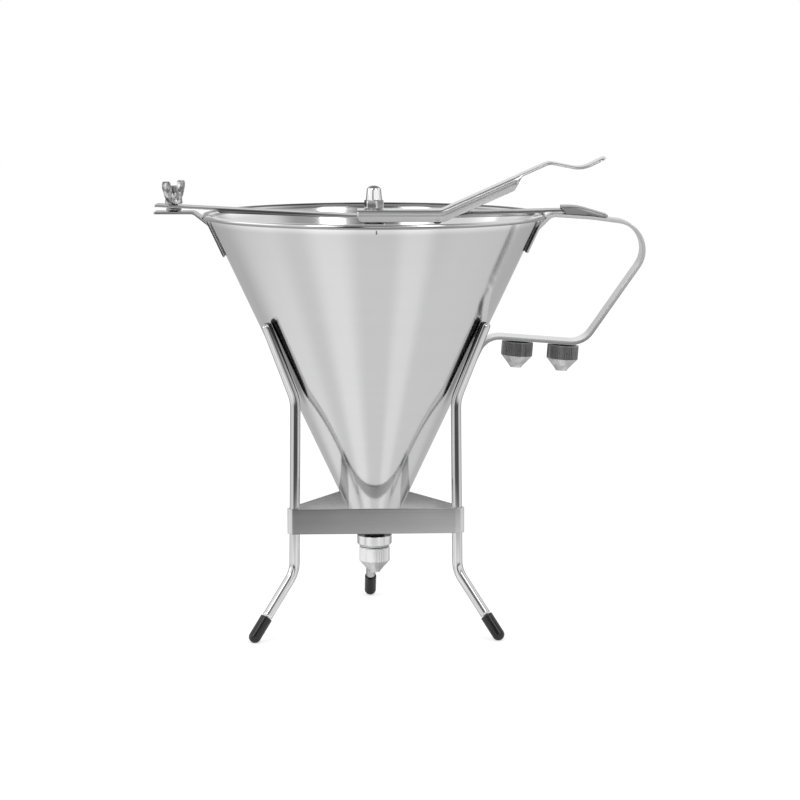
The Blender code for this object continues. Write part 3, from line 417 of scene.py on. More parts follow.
HANDLE_OFFSET = GAP + HANDLE_SHEET / 2
past_bead = BEAD_CENTRE + (RIM_BEAD + HANDLE_OFFSET) * heading(HANDLE_LEAN - QUARTER_TURN)
knee = np.array([RIM_RADIUS + KNEE_REACH, RIM_HEIGHT - KNEE_DROP])
upper_corner = np.array([RIM_RADIUS + UPPER_CORNER_REACH, RIM_HEIGHT - UPPER_CORNER_DROP])
lower_corner = np.array([RIM_RADIUS + LOWER_CORNER_REACH, RIM_HEIGHT - LOWER_CORNER_DROP])
foot_corner = crossing(cone_line(HANDLE_OFFSET), CONE_UPWARD, past_bead, heading(HANDLE_LEAN))
crest_corner = crossing(knee, heading(-CREST_SLOPE), past_bead, heading(HANDLE_LEAN))
run_direction = heading(pi - LOWER_RUN_SLOPE)
lower_foot_corner = crossing(lower_corner, run_direction, cone_line(HANDLE_OFFSET), CONE_UPWARD)
HANDLE_PATH = rounded([
    (*(foot_corner - UPPER_FOOT * CONE_UPWARD), 0),
    (*foot_corner, FOOT_BEND),
    (*crest_corner, CREST_BEND),
    (*knee, KNEE_BEND),
    (*upper_corner, UPPER_CORNER_BEND),
    (*lower_corner, LOWER_CORNER_BEND),
    (*lower_foot_corner, LOWER_FOOT_BEND),
    (*(lower_foot_corner - LOWER_FOOT * CONE_UPWARD), 0)])
SPARE_SEAT = (lower_corner[1] + tan(LOWER_RUN_SLOPE) * lower_corner[0]
              - (HANDLE_SHEET / 2 + 2 * GAP + STUD_SHOULDER) / cos(LOWER_RUN_SLOPE))
HANDLE_REACH = HANDLE_PATH[:, 0].max() + HANDLE_SHEET / 2
AXIS_X = (BRACKET_END - HANDLE_REACH) / 2
FUNNEL_AXIS = np.array([AXIS_X, 0, 0])

BAR_CORNERS = [
    (-BAR_LEFT_END, BAR_TOP + BAR_LEFT_RISE),
    (-BAR_LEFT_KNEE, BAR_TOP),
    (PIVOT_REACH + BAR_RIGHT_KNEE, BAR_TOP),
    (PIVOT_REACH + BAR_RIGHT_KNEE + BAR_KNEE_RUN, BAR_TOP + BAR_KNEE_RISE),
    (RIM_RADIUS + BAR_TONGUE_OVERHANG, BAR_TOP + BAR_TONGUE_RISE),
    (RIM_RADIUS + BAR_TONGUE_OVERHANG + BAR_TONGUE_LENGTH, BAR_TOP + BAR_TONGUE_RISE - BAR_TONGUE_DROP)]


def bar_height(across):
    return np.interp(across, [x for x, z in BAR_CORNERS], [z for x, z in BAR_CORNERS])


LOCK_NUT_TOP = bar_height(LOCK_NUT_FLATS / 2 / cos(FULL_TURN / 12) - BOLT_PLACE) - BAR_SHEET - GAP
BRACKET_TOP = LOCK_NUT_TOP - LOCK_NUT_LENGTH - GAP
BRACKET_BOTTOM = BRACKET_TOP - BRACKET_SHEET
WING_BOTTOM = bar_height(-BOLT_PLACE - WING_BASE_RADIUS) + GAP


# Surfaces; worn stands for a piece's look, body, slot and the node that it replaces; the slot is not used

def add_thing(name, data):
    thing = bpy.data.objects.new(name, data)
    bpy.context.scene.collection.objects.link(thing)
    return thing


def put(name, points, faces, look, body, slot, replaced):
    """A closed mesh with its doubles merged and its faces turned outwards, riding on a body."""
    used, places = np.unique(np.concatenate([part.ravel() for part in faces]), return_inverse=True)
    mesh = bpy.data.meshes.new(name)
    rows = []
    start = 0
    for part in faces:
        rows += places[start:start + part.size].reshape(part.shape).tolist()
        start += part.size
    mesh.from_pydata(points.reshape(-1, 3)[used].tolist(), [], rows)
    shape = bmesh.new()
    shape.from_mesh(mesh)
    bmesh.ops.remove_doubles(shape, verts=shape.verts, dist=MERGE_DISTANCE)
    bmesh.ops.recalc_face_normals(shape, faces=shape.faces)
    shape.to_mesh(mesh)
    shape.free()
    mesh.shade_smooth()
    mesh.materials.append(look)
    piece = add_thing(name, mesh)
    piece.modifiers.new("weighted", "WEIGHTED_NORMAL").keep_sharp = True
    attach(piece, body)
    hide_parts(replaced)
    return piece


def grid_faces(rows, columns, wrap_rows=False):
    """Quads between neighbours of a grid whose columns run all the way round."""
    row = np.arange(rows if wrap_rows else rows - 1)[:, None]
    column = np.arange(columns)[None, :]
    below, beside = (row + 1) % rows, (column + 1) % columns
    return np.stack([row * columns + column, row * columns + beside,
                     below * columns + beside, below * columns + column], -1).reshape(-1, 4)


def placed(points, origin, tilt=0.0, turn=0.0):
    """Points tipped about Y, turned about Z and moved to their origin."""
    x, y, z = points[..., 0], points[..., 1], points[..., 2]
    x, z = x * cos(tilt) + z * sin(tilt), z * cos(tilt) - x * sin(tilt)
    x, y = x * cos(turn) - y * sin(turn), x * sin(turn) + y * cos(turn)
    return np.stack([x, y, z], -1) + np.asarray(origin)


def all_round(steps):
    return np.arange(steps) * FULL_TURN / steps


def rings(radius, height, angles):
    """Points round Z: x = radius * cos(angle), y = radius * sin(angle)."""
    return np.stack(np.broadcast_arrays(radius * np.cos(angles), radius * np.sin(angles), height), -1)


def spun(name, profile, *worn, origin=FUNNEL_AXIS, tilt=0.0, turn=0.0, steps=ROUND_STEPS, swell=None):
    """A profile (radius, height) spun about Z: x = r cos a, y = r sin a; swell may change r by a."""
    profile = np.asarray(profile, dtype=float)
    angles = all_round(steps)
    radius, height = profile[:, :1], profile[:, 1:]
    if swell:
        radius = swell(radius, height, angles)
    points = placed(rings(radius, height, angles), origin, tilt, turn)
    return put(name, points, [grid_faces(len(profile), steps, profile[0, 0] > 0)], *worn)


def sheet(name, outer, inner, edge, *worn, kept=None, wrapped=False):
    """A wall between two grids of points, with its borders and holes closed by rounded edges.

    Each border point goes out by edge * sin(a) and in by edge * (1 - cos(a)) from both sides.
    """
    rows, columns = outer.shape[:2]
    cells = np.ones((rows - 1, columns if wrapped else columns - 1), bool) if kept is None else kept
    near = np.zeros((rows + 1, columns + 1), int)
    if wrapped:
        near[1:rows, 1:] = cells
        near[1:rows, 0] = cells[:, -1]
        along_columns = np.roll(outer, -1, axis=1) - np.roll(outer, 1, axis=1)
    else:
        near[1:rows, 1:columns] = cells
        along_columns = np.gradient(outer, axis=1)
    down = np.sign(near[:-1, :-1] + near[:-1, 1:] - near[1:, :-1] - near[1:, 1:])[..., None]
    right = np.sign(near[:-1, :-1] + near[1:, :-1] - near[:-1, 1:] - near[1:, 1:])[..., None]
    outward = down * unit(np.gradient(outer, axis=0)) + right * unit(along_columns)
    wall = np.linalg.norm(outer - inner, axis=-1, keepdims=True)
    round_edge = np.minimum(edge, wall * EDGE_LIMIT_SHARE)
    outward *= round_edge
    inward = (inner - outer) / wall * round_edge
    levels = [outer + outward * sin(angle) + inward * (1 - cos(angle)) for angle in EDGE_ANGLES]
    levels += [inner + outward * sin(angle) - inward * (1 - cos(angle)) for angle in EDGE_ANGLES[::-1]]
    index = np.arange(rows * columns).reshape(rows, columns)
    row, column = np.nonzero(cells)
    beside = (column + 1) % columns
    quads = np.stack([index[row, column], index[row, beside], index[row + 1, beside],
                      index[row + 1, column]], -1)
    row_a, column_a = np.nonzero(near[:-1, 1:] != near[1:, 1:])
    row_b, column_b = np.nonzero((near[1:, :-1] != near[1:, 1:])[:rows - 1])
    starts = np.concatenate([index[row_a, column_a], index[row_b, column_b]])
    ends = np.concatenate([index[row_a, (column_a + 1) % columns], index[row_b + 1, column_b]])
    size = rows * columns
    layers = np.arange(len(levels) - 1)[:, None] * size
    walls = np.stack([layers + starts, layers + ends, layers + size + ends, layers + size + starts], -1)
    faces = [quads, quads[:, ::-1] + (len(levels) - 1) * size, walls.reshape(-1, 4)]
    return put(name, np.stack(levels), faces, *worn)


def bent_strip(name, path, width, thickness, edge, *worn):
    """A flat strip: its two sides are the path moved along its normal by half the thickness."""
    path = walked(path)
    stations = (width / 2 - edge) * np.linspace(-1, 1, STRIP_COLUMNS)
    sides = []
    for offset in (thickness / 2, -thickness / 2):
        line = path + normals_of(path) * offset
        sides.append(np.stack(np.broadcast_arrays(line[:, :1] + AXIS_X, stations, line[:, 1:]), -1))
    return sheet(name, *sides, edge, *worn)


def channel(name, path, half, thickness, fold, edge, depth, middle, *worn, slotted=None, crease=0.0,
            crease_out=0.0):
    """An inverted channel carried along a path on its upper surface.

    From its lower edge a flange rises to the fold, follows a quarter circle and runs across the top.
    Half, depth and middle (places on the top) hold one value or row for each point of the path. Below
    the crease, a depth under the top, a flange stands out by crease_out. Slotted says where the top is
    open between its second and third places.
    """
    half = np.broadcast_to(half, len(path))[:, None]
    depth = np.maximum(np.broadcast_to(depth, len(path))[:, None], thickness + edge)
    bend = np.clip(depth - edge - MERGE_DISTANCE, edge, fold)
    inner_bend = np.maximum(bend - thickness, edge / 2)
    out = crease_out * np.clip((depth - crease) / (max(crease, edge) * CREASE_FADE_SHARE), 0, 1)
    angle = np.linspace(0, QUARTER_TURN, FOLD_COLUMNS)
    normal = normals_of(path)
    surfaces = []
    for radius, inset in ((bend, 0.0), (inner_bend, thickness)):
        foot = -depth + edge
        top = np.minimum(-inset - radius, 0)
        below = np.clip(-crease - crease_out / 2, foot, top)
        above = np.clip(-crease + crease_out / 2, foot, top)
        side = half - inset - out
        side_across = np.concatenate([side + out, side + out, side,
                                      side - radius + radius * np.cos(angle)], 1)
        side_up = np.concatenate([foot, below, above, top + radius * np.sin(angle)], 1)
        side_up = np.minimum(side_up, -inset)
        across = np.concatenate([-side_across, middle, side_across[:, ::-1]], 1)
        up = np.concatenate([side_up, np.full(middle.shape, -inset), side_up[:, ::-1]], 1)
        surfaces.append(np.stack([path[:, :1] + normal[:, :1] * up + AXIS_X, across,
                                  path[:, 1:] + normal[:, 1:] * up], -1))
    kept = np.ones((len(path) - 1, across.shape[1] - 1), bool)
    if slotted is not None:
        kept[slotted, FLANGE_COLUMNS + FOLD_COLUMNS + 1] = False
    return sheet(name, *surfaces, edge, *worn, kept=kept)


def tube(name, path, radii, azimuth, *worn):
    """A circle carried along a path (reach, height) in the upright plane of an azimuth."""
    outward = np.array([cos(azimuth), sin(azimuth), 0])
    sideways = np.array([-sin(azimuth), cos(azimuth), 0])
    up = np.array([0, 0, 1])
    normal = normals_of(path)
    angles = all_round(WIRE_SIDES)[:, None]
    centre = FUNNEL_AXIS + path[:, :1] * outward + path[:, 1:] * up
    normal = normal[:, :1] * outward + normal[:, 1:] * up
    points = centre[:, None] + radii[:, None, None] * (normal[:, None] * np.cos(angles)
                                                       + sideways * np.sin(angles))
    return put(name, points, [grid_faces(len(path), WIRE_SIDES)], *worn)


# Values that vary over a surface

def node(tree, kind, values=(), **settings):
    """A new node whose inputs are linked to values that vary, or set to plain ones."""
    made = tree.nodes.new(kind)
    for key, value in settings.items():
        setattr(made, key, value)
    for key, value in dict(values).items():
        value = getattr(value, "socket", value)
        if isinstance(value, bpy.types.NodeSocket):
            tree.links.new(value, made.inputs[key])
        else:
            made.inputs[key].default_value = value
    return made


class Field:
    """An output in a node tree; arithmetic on it adds Math nodes."""

    def __init__(self, tree, socket):
        self.tree = tree
        self.socket = socket

    def math(self, operation, *others):
        return field(self.tree, "ShaderNodeMath", enumerate((self, *others)), operation=operation)

    def __add__(self, other):
        return self.math("ADD", other)

    def __sub__(self, other):
        return self.math("SUBTRACT", other)

    def __mul__(self, other):
        return self.math("MULTIPLY", other)

    def __abs__(self):
        return self.math("ABSOLUTE")

    def feed(self, socket):
        self.tree.links.new(self.socket, socket)


def field(tree, kind, values=(), output=0, **settings):
    return Field(tree, node(tree, kind, values, **settings).outputs[output])


def parts(place):
    separate = node(place.tree, "ShaderNodeSeparateXYZ", {0: place})
    return [Field(place.tree, output) for output in separate.outputs]


def scaled(colour, share):
    return field(share.tree, "ShaderNodeVectorMath", {0: colour, "Scale": share}, operation="SCALE")


def ramp(value, low, high, start=0.0, end=1.0):
    """A smooth step of a value from start, at low, to end, at high."""
    return field(value.tree, "ShaderNodeMapRange", {"Value": value, "From Min": low, "From Max": high,
                                                    "To Min": start, "To Max": end},
                 interpolation_type="SMOOTHSTEP")


def within(value, centre, reach, soft):
    """One where a value is within reach of its centre, fading over a soft margin."""
    return ramp(abs(value - centre), reach, reach + soft, 1.0, 0.0)


def mixed(share, low, high):
    """Low where the share is 0 and high where it is 1."""
    return field(share.tree, "ShaderNodeMix", {"Factor": share, "A": low, "B": high}, "Result")


def noise(place, scale, detail, **values):
    values.update(Vector=place, Scale=scale, Detail=detail)
    return field(place.tree, "ShaderNodeTexNoise", values)


def from_axis(place):
    """A place measured from the funnel's axis."""
    return field(place.tree, "ShaderNodeMapping", {"Vector": place, "Location": tuple(-FUNNEL_AXIS)})


# Shared effects

def new_group(name, number, default, outputs):
    """A shader node group with a Vector and a number as inputs; outputs holds names and kinds."""
    tree = bpy.data.node_groups.new(name, "ShaderNodeTree")
    tree.interface.new_socket("Vector", in_out="INPUT", socket_type="NodeSocketVector")
    tree.interface.new_socket(number, in_out="INPUT", socket_type="NodeSocketFloat").default_value = default
    for socket, kind in outputs.items():
        tree.interface.new_socket(socket, in_out="OUTPUT", socket_type="NodeSocket" + kind)
    given = tree.nodes.new("NodeGroupInput").outputs
    return tree, Field(tree, given[0]), Field(tree, given[1]), tree.nodes.new("NodeGroupOutput").inputs


def grouped(group, place, **values):
    """The outputs of a shared effect at a place."""
    made = node(place.tree, "ShaderNodeGroup", {"Vector": place, **values}, node_tree=group)
    return [Field(place.tree, output) for output in made.outputs]


def make_around():
    """Place about an upright axis: radius, a slow share of the angle, and height."""
    tree, place, stretch, result = new_group("around_axis", "Stretch", 0.002, {"Vector": "Vector"})
    x, y, z = parts(place)
    radius = (x * x + y * y).math("SQRT")
    angle = y.math("ARCTAN2", x) * stretch
    field(tree, "ShaderNodeCombineXYZ", {0: radius, 1: angle, 2: z}).feed(result["Vector"])
    return tree


def make_lines():
    """Polishing or rolling lines: fine and coarse noise on coordinates that are already stretched."""
    tree, place, coarse, result = new_group("grain_lines", "Coarse", 0.2,
                                            {"Height": "Float", "Mask": "Float"})
    broad = noise(scaled(place, coarse), 1.0, 2.0)
    (noise(place, 1.0, 4.0) * 0.6 + broad * 0.4).feed(result["Height"])
    ramp(broad, 0.35, 0.65).feed(result["Mask"])
    return tree


def make_handling():
    """Soft clouds where hands and cloths have dulled a surface, with a few fine specks."""
    tree, place, scale, result = new_group("handling", "Scale", 40.0, {"Dulled": "Float", "Specks": "Float"})
    ramp(noise(place, scale, 5.0, Roughness=0.6, Distortion=0.4), 0.35, 0.70).feed(result["Dulled"])
    speck = field(tree, "ShaderNodeTexVoronoi", {"Vector": place, "Scale": scale * 30.0}, "Distance")
    ramp(speck, 0.05, 0.16, 1.0, 0.0).feed(result["Specks"])
    return tree


AROUND = make_around()
LINES = make_lines()
HANDLING = make_handling()


# Materials

OUTLINE_START_SHARE = 0.40
OUTLINE_END_SHARE = 0.65


def new_material(name):
    material = bpy.data.materials.new(name)
    material.use_nodes = True
    tree = material.node_tree
    return material, tree.nodes["Principled BSDF"], field(tree, "ShaderNodeTexCoord", output="Object")


def dress(shader, colour, roughness, height, distance, strength=1.0, metallic=1.0):
    colour.feed(shader.inputs["Base Color"])
    roughness.feed(shader.inputs["Roughness"])
    shader.inputs["Metallic"].default_value = metallic
    field(height.tree, "ShaderNodeBump", {"Height": height, "Strength": strength,
                                          "Distance": distance}).feed(shader.inputs["Normal"])


def metal(name, grey, roughness, lines, line_height, dulling=0.06, tone=0.06, spun=False, outline=0.0):
    """Steel with grain lines, soft dulled clouds and specks.

    Lines holds how often the grain changes per metre along X, Y and Z or, on a spun piece, along the
    radius, the angle and the height. Outline paints shade on a round piece where it turns away from the eye.
    """
    material, shader, place = new_material(name)
    grain_place = grouped(AROUND, from_axis(place))[0] if spun else place
    height, mask = grouped(LINES, field(place.tree, "ShaderNodeMapping", {"Vector": grain_place,
                                                                          "Scale": lines}))
    dulled, specks = grouped(HANDLING, place)
    shade = mask * tone + (1.0 - tone / 2) - specks * tone
    # Painted shade along the outline of round pieces
    if outline:
        facing = field(place.tree, "ShaderNodeLayerWeight", {"Blend": 0.5}, "Facing")
        shade = shade * ramp(facing, OUTLINE_START_SHARE, OUTLINE_END_SHARE, 1.0, 1.0 - outline)
    roughness = dulled * dulling + roughness + mask * (dulling / 3)
    dress(shader, scaled((grey, grey, grey * 1.004), shade), roughness, height, line_height)
    return material


def cast_metal(name, grey, roughness):
    """Cast and tumbled steel: a rough skin with pits."""
    material, shader, place = new_material(name)
    skin = noise(place, 380.0, 3.0)
    dulled, specks = grouped(HANDLING, place, Scale=120.0)
    shade = ramp(skin, 0.40, 0.60, 0.45, 1.25) - specks * 0.3
    dress(shader, scaled((grey, grey, grey), shade), dulled * 0.15 + roughness, skin, 0.0004)
    return material


def rubber(name):
    """Black moulded rubber, a little dusty and dulled by use."""
    material, shader, place = new_material(name)
    dulled, specks = grouped(HANDLING, place, Scale=150.0)
    colour = scaled((1.0, 1.0, 1.0), dulled * 0.012 + 0.010)
    dress(shader, colour, dulled * 0.08 + 0.14, noise(place, 2500.0, 2.0), 0.00004, 0.6, metallic=0.0)
    return material


def darken(material, make_mask, share=0.95):
    """Paint a material darker where its mask, made from place about the funnel's axis, is one, and lighter
    where the mask falls below zero.
    """
    tree = material.node_tree
    colour = tree.nodes["Principled BSDF"].inputs["Base Color"]
    place = from_axis(field(tree, "ShaderNodeTexCoord", output="Object"))
    radius = parts(grouped(AROUND, place)[0])[0]
    mask = make_mask(radius, *parts(place))
    scaled(colour.links[0].from_socket, mask * -share + 1.0).feed(colour)


# Painted shade and highlights, and a few plain marks, from the radius and place about the funnel's axis

def off_cone(radius, z):
    """Distance from the cone's outside."""
    slope = tan(CONE_HALF_ANGLE)
    return (radius - (z * slope - APEX_HEIGHT * slope)) * cos(CONE_HALF_ANGLE)


def cone_gap_shade(radius, x, y, z):
    """Painted shade: black on what lies closest to the cone's outside, in the gap between a part and the
    cone.
    """
    return ramp(off_cone(radius, z), GAP_SHADE_WIDTH, GAP_SHADE_WIDTH + DARK_LINE_FADE, 1.0, 0.0)


def foot_line(radius, x, y, z):
    """A dark line along the bracket's sheet, at a set distance from the cone's outside."""
    return within(off_cone(radius, z), GAP + BRACKET_SHEET * 0.8, DARK_LINE_FADE / 2, DARK_LINE_FADE / 2)


def leg_contact_shade(radius, x, y, z):
    """Painted shade: dark lines on the cone where it rests against the three legs."""
    rear = LEG_AZIMUTHS["rear"] + STAND_TURN
    angle = y.math("ARCTAN2", x).math("WRAP", rear + FULL_TURN / 6, rear - FULL_TURN / 6)
    top = RIM_HEIGHT - LEG_DROP
    ends = ramp(z, top - CONTACT_SHADE_FADE, top, 1.0, 0.0) * ramp(z, top - CONTACT_SHADE_LENGTH, top - CONTACT_SHADE_LENGTH * 0.7)
    return within((angle - rear) * radius, 0.0, CONTACT_SHADE_HALF, CONTACT_SHADE_FADE) * ends


def leg_inner_shade(radius, x, y, z):
    """Painted shade on the side of a leg that faces the cone."""
    return ramp(off_cone(radius, z), WIRE_RADIUS, WIRE_RADIUS + CONTACT_SHADE_FADE, 1.0, 0.0)


def fold_shade(radius, x, y, z):
    """Painted shade: a dark line along the lever's two folds."""
    # Painted shade standing in for the dark reflection along the folds
    return within(abs(y), LEVER_WIDTH / 2 - LEVER_CREASE_OUT - LEVER_FOLD * 0.3, LEVER_FOLD * 0.12, GAP)


def rim_tick_and_painted_light(radius, x, y, z):
    """The tick where the bead's seam ends, painted shade in the groove under the bead and on its inner lip,
    and a painted highlight on a strip of the cone below it.
    """
    foot = RIM_HEIGHT - RIM_BEAD
    tick = (within(z, foot - TICK_DROP, TICK_LENGTH / 2, TICK_WIDTH / 4)
            * within(x, TICK_PLACE, TICK_WIDTH / 2, TICK_WIDTH / 4) * ramp(y, -RIM_RADIUS / 2, 0.0, 1.0, 0.0))
    # Painted shade on the bead and its lip, and a painted highlight on the strip below the bead
    groove_shade = within(z, foot + RIM_BEAD * 0.3, RIM_BEAD * 0.35, RIM_BEAD * 0.2)
    under_bead_highlight = ramp(z, foot - UNDER_BEAD_HIGHLIGHT, foot) * ramp(z, foot, foot + GAP, 1.0, 0.0)
    upper = ramp(z, RIM_HEIGHT, RIM_HEIGHT + GAP)
    lip_shade = within(radius, RIM_RADIUS - RIM_BEAD * 1.5, RIM_BEAD * 0.4, GAP) * upper
    return tick + groove_shade * 0.50 + lip_shade * 0.85 - under_bead_highlight * 0.38


def bar_painted_shade(radius, x, y, z):
    """Painted shade: the crossbar's ears, which carry the lever's pin, made black, and the sides of its
    flanges made dark.
    """
    # Painted shade on the ears under the lever's flanges, and on the flange sides
    ear_shade = ramp(z, BAR_UNDER - BAR_SHEET, BAR_UNDER, 1.0, 0.0) * within(x, PIVOT_REACH, EAR_RADIUS, GAP)
    side = ramp(abs(y), BAR_WIDTH / 2 - 3 * GAP, BAR_WIDTH / 2 - GAP)
    flange_start = BAR_FLANGE_INSET - RIM_RADIUS
    left = (ramp(x, flange_start - BAR_FLANGE_TAPER, flange_start)
            * ramp(x, -RIM_RADIUS / 2, -LEVER_TAIL, 0.8, 0.2))
    right = ramp(x, PIVOT_REACH, PIVOT_REACH + BAR_RIGHT_KNEE, 0.0, 0.3)
    return ear_shade.math("MAXIMUM", side * (left + right))


def nut_painted_shade(radius, x, y, z):
    """Painted shade: the dome nut's flats and crown darker than its corners and its dome."""
    corner = NUT_FLATS / 2 / cos(FULL_TURN / 12)
    # Painted shade on the flats and on the crown
    flats = ramp(radius, corner * 0.93, corner * 0.97, 0.55, 0.0) * ramp(z, NUT_TOP - GAP, NUT_TOP, 1.0, 0.0)
    return flats + ramp(z, DOME_TOP - CROWN_HEIGHT, DOME_TOP - CROWN_HEIGHT + GAP, 0.0, 0.55)


def strip_edges_and_gap_shade(radius, x, y, z):
    """The handle's cut edges, a little darker, and painted shade where it is welded to the cone."""
    edge = ramp(abs(y), HANDLE_WIDTH / 2 - GAP, HANDLE_WIDTH / 2 - GAP / 2, 0.0, 0.15)
    return edge.math("MAXIMUM", cone_gap_shade(radius, x, y, z))


def band_painted_light(radius, x, y, z):
    """Painted light on the band: the front run darker to the left, painted highlights on the bends, paler
    rear runs and painted shade along its edges.
    """
    corner = LEG_RADIUS * cos(FULL_TURN / 12)
    # Painted highlights on the bends and painted shade along the top and bottom edges
    across = mixed(ramp(abs(x), corner, corner + GAP), x * (-0.27 / corner) + 0.05, -0.45)
    edge_shade = ramp(abs(z - BAND_MIDDLE), BAND_HEIGHT / 2 - 2 * GAP, BAND_HEIGHT / 2 - GAP, 0.0, 0.25)
    return mixed(ramp(y, -BAND_FRONT, -BAND_FRONT / 2, 1.0, 0.0), -0.12, across) + edge_shade


def used_tip(radius, x, y, z):
    """The tip of the nozzle in use, darker below its shoulder."""
    shoulder = NOZZLE_TOP - NOZZLE_BODY
    return ramp(z, shoulder - GAP / 2, shoulder + GAP / 2, 0.32, 0.0)


def spare_knurl_shade(radius, x, y, z):
    """Painted shade: the knurled part of the two spare nozzles made darker."""
    shoulder = SPARE_SEAT - NOZZLE_BODY
    # Painted shade on the spares' knurl
    return ramp(x * tan(LOWER_RUN_SLOPE) + z, shoulder - GAP / 2, shoulder + GAP / 2, 0.0, 0.58)


ALONG = (80.0, 5000.0, 5000.0)
ACROSS = (80.0, 5000.0, 80.0)
TURNED = (9000.0, 60.0, 9000.0)
UPRIGHT = (1200.0, 1200.0, 60.0)
POLISHED_CONE = metal("polished_cone", 0.67, 0.11, (900.0, 40.0, 900.0), 0.0000005, 0.02, 0.01, spun=True)
TURNED_STEEL = metal("turned_steel", 0.84, 0.12, TURNED, 0.000001, spun=True, outline=0.4)
VALVE_STEEL = metal("valve_steel", 0.30, 0.30, TURNED, 0.000002, spun=True)
NOZZLE_STEEL = metal("nozzle_steel", 0.88, 0.14, UPRIGHT, 0.000001, tone=0.42, outline=0.4)
# Painted shade: the spares are the same steel as the nozzle in use, given a darker grey
SHADED_SPARE_STEEL = metal("spare_steel", 0.62, 0.15, UPRIGHT, 0.000001, tone=0.34, outline=0.3)
DOME_STEEL = metal("dome_steel", 0.97, 0.06, (900.0, 900.0, 900.0), 0.0000003, 0.02, 0.02, outline=0.8)
WIRE_CHROME = metal("wire_chrome", 0.74, 0.07, (2500.0, 2500.0, 60.0), 0.0000006, 0.03, 0.03, outline=0.5)
BAND_STEEL = metal("band_steel", 0.54, 0.22, (60.0, 60.0, 5000.0), 0.0000008, 0.04, 0.03)
HANDLE_STEEL = metal("handle_steel", 0.86, 0.20, ACROSS, 0.0000006, 0.04, 0.04)
BRACKET_STEEL = metal("bracket_steel", 0.58, 0.15, ACROSS, 0.0000006, 0.04, 0.08)
HOOD_STEEL = metal("hood_steel", 0.40, 0.32, ALONG, 0.000001, tone=0.04)
LEVER_STEEL = metal("lever_steel", 0.76, 0.28, ALONG, 0.000001, 0.04, 0.05)
BAR_STEEL = metal("bar_steel", 0.74, 0.09, ALONG, 0.0000004, 0.03, 0.03)
FASTENER_STEEL = metal("fastener_steel", 0.40, 0.12, (3000.0, 3000.0, 3000.0), 0.000001)
SPRING_STEEL = metal("spring_steel", 0.50, 0.22, (2000.0, 2000.0, 2000.0), 0.000001)
CAST_STEEL = cast_metal("cast_steel", 0.56, 0.13)
BLACK_RUBBER = rubber("black_rubber")
darken(POLISHED_CONE, rim_tick_and_painted_light)
darken(POLISHED_CONE, leg_contact_shade, 0.6)
darken(WIRE_CHROME, leg_inner_shade)
darken(LEVER_STEEL, fold_shade, 0.45)
darken(HANDLE_STEEL, strip_edges_and_gap_shade)
darken(BRACKET_STEEL, foot_line)
darken(BAR_STEEL, bar_painted_shade)
darken(BAND_STEEL, band_painted_light)
darken(DOME_STEEL, nut_painted_shade)
darken(NOZZLE_STEEL, used_tip)
darken(SHADED_SPARE_STEEL, spare_knurl_shade)


# Funnel

def make_cone():
    """A thin cone whose upper edge is rolled outwards into a bead."""
    wall = CONE_SHEET / cos(CONE_HALF_ANGLE)
    bead_foot = RIM_HEIGHT - RIM_BEAD
    bead = arc(BEAD_CENTRE, RIM_BEAD, BEAD_START, BEAD_END)
    profile = np.concatenate([bead, [
        (cone_radius(bead_foot), bead_foot),
        (FLANGE_RADIUS, CONE_BOTTOM),
        (FLANGE_RADIUS - wall, CONE_BOTTOM),
        (cone_radius(bead_foot) - wall, bead_foot)]])
    spun("cone_shell", profile, POLISHED_CONE, "funnel", "polished_steel", "funnel_cone", steps=CONE_STEPS)


def make_outlet():
    """Flange, neck and collar turned in one, and the ring that seals them."""
    neck = SEAL_RADIUS - SEAL_WALL - GAP
    thread_end = COLLAR_BOTTOM - THREAD_LENGTH
    profile = fillets([
        (SEAT_RADIUS, FLANGE_TOP), (FLANGE_RADIUS, FLANGE_TOP), (FLANGE_RADIUS, FLANGE_BOTTOM),
        (neck, FLANGE_BOTTOM), (neck, COLLAR_TOP), (COLLAR_RADIUS, COLLAR_TOP),
        (COLLAR_RADIUS, COLLAR_BOTTOM + COLLAR_CHAMFER), (COLLAR_RADIUS - COLLAR_CHAMFER, COLLAR_BOTTOM),
        (THREAD_RADIUS, COLLAR_BOTTOM), (THREAD_RADIUS, thread_end), (OUTLET_BORE, thread_end),
        (OUTLET_BORE, FLANGE_TOP - SEAT_DEPTH)])
    spun("outlet_body", profile, TURNED_STEEL, "funnel", "polished_steel", "outlet_spigot")
    bottom = COLLAR_TOP + GAP
    ring("seal_ring", SEAL_RADIUS, SEAL_RADIUS - SEAL_WALL, bottom, bottom + SEAL_LENGTH, BLACK_RUBBER,
         "funnel", "black_rubber", "outlet_seal")


def ring(name, outer, inner, bottom, top, *worn):
    spun(name, fillets([(outer, top), (outer, bottom), (inner, bottom), (inner, top)]), *worn)


def knurled(radius, height, angle):
    """The nozzle's straight knurl: ridges around its body that fade out at its chamfers."""
    depth = KNURL_DEPTH * np.clip((radius - NOZZLE_RADIUS + NOZZLE_CHAMFER) / NOZZLE_CHAMFER, 0, 1)
    return radius - depth * (0.5 + 0.5 * np.cos(KNURL_COUNT * angle)) ** 2


def nozzle_profile():
    """Heights run down from the nozzle's top face."""
    shoulder = -NOZZLE_BODY
    tip = shoulder - TIP_LENGTH
    socket = THREAD_RADIUS + GAP
    socket_floor = -(THREAD_LENGTH + GAP)
    return fillets([
        (NOZZLE_RADIUS - NOZZLE_CHAMFER, 0), (NOZZLE_RADIUS, -NOZZLE_CHAMFER), (NOZZLE_RADIUS, shoulder),
        (TIP_RADIUS, tip + TIP_ROUND), (TIP_RADIUS - TIP_ROUND / 2, tip), (TIP_BORE, tip),
        (TIP_BORE, tip + TIP_LAND), (OUTLET_BORE, socket_floor), (socket, socket_floor), (socket, 0)],
        EDGE_BREAK / 2)


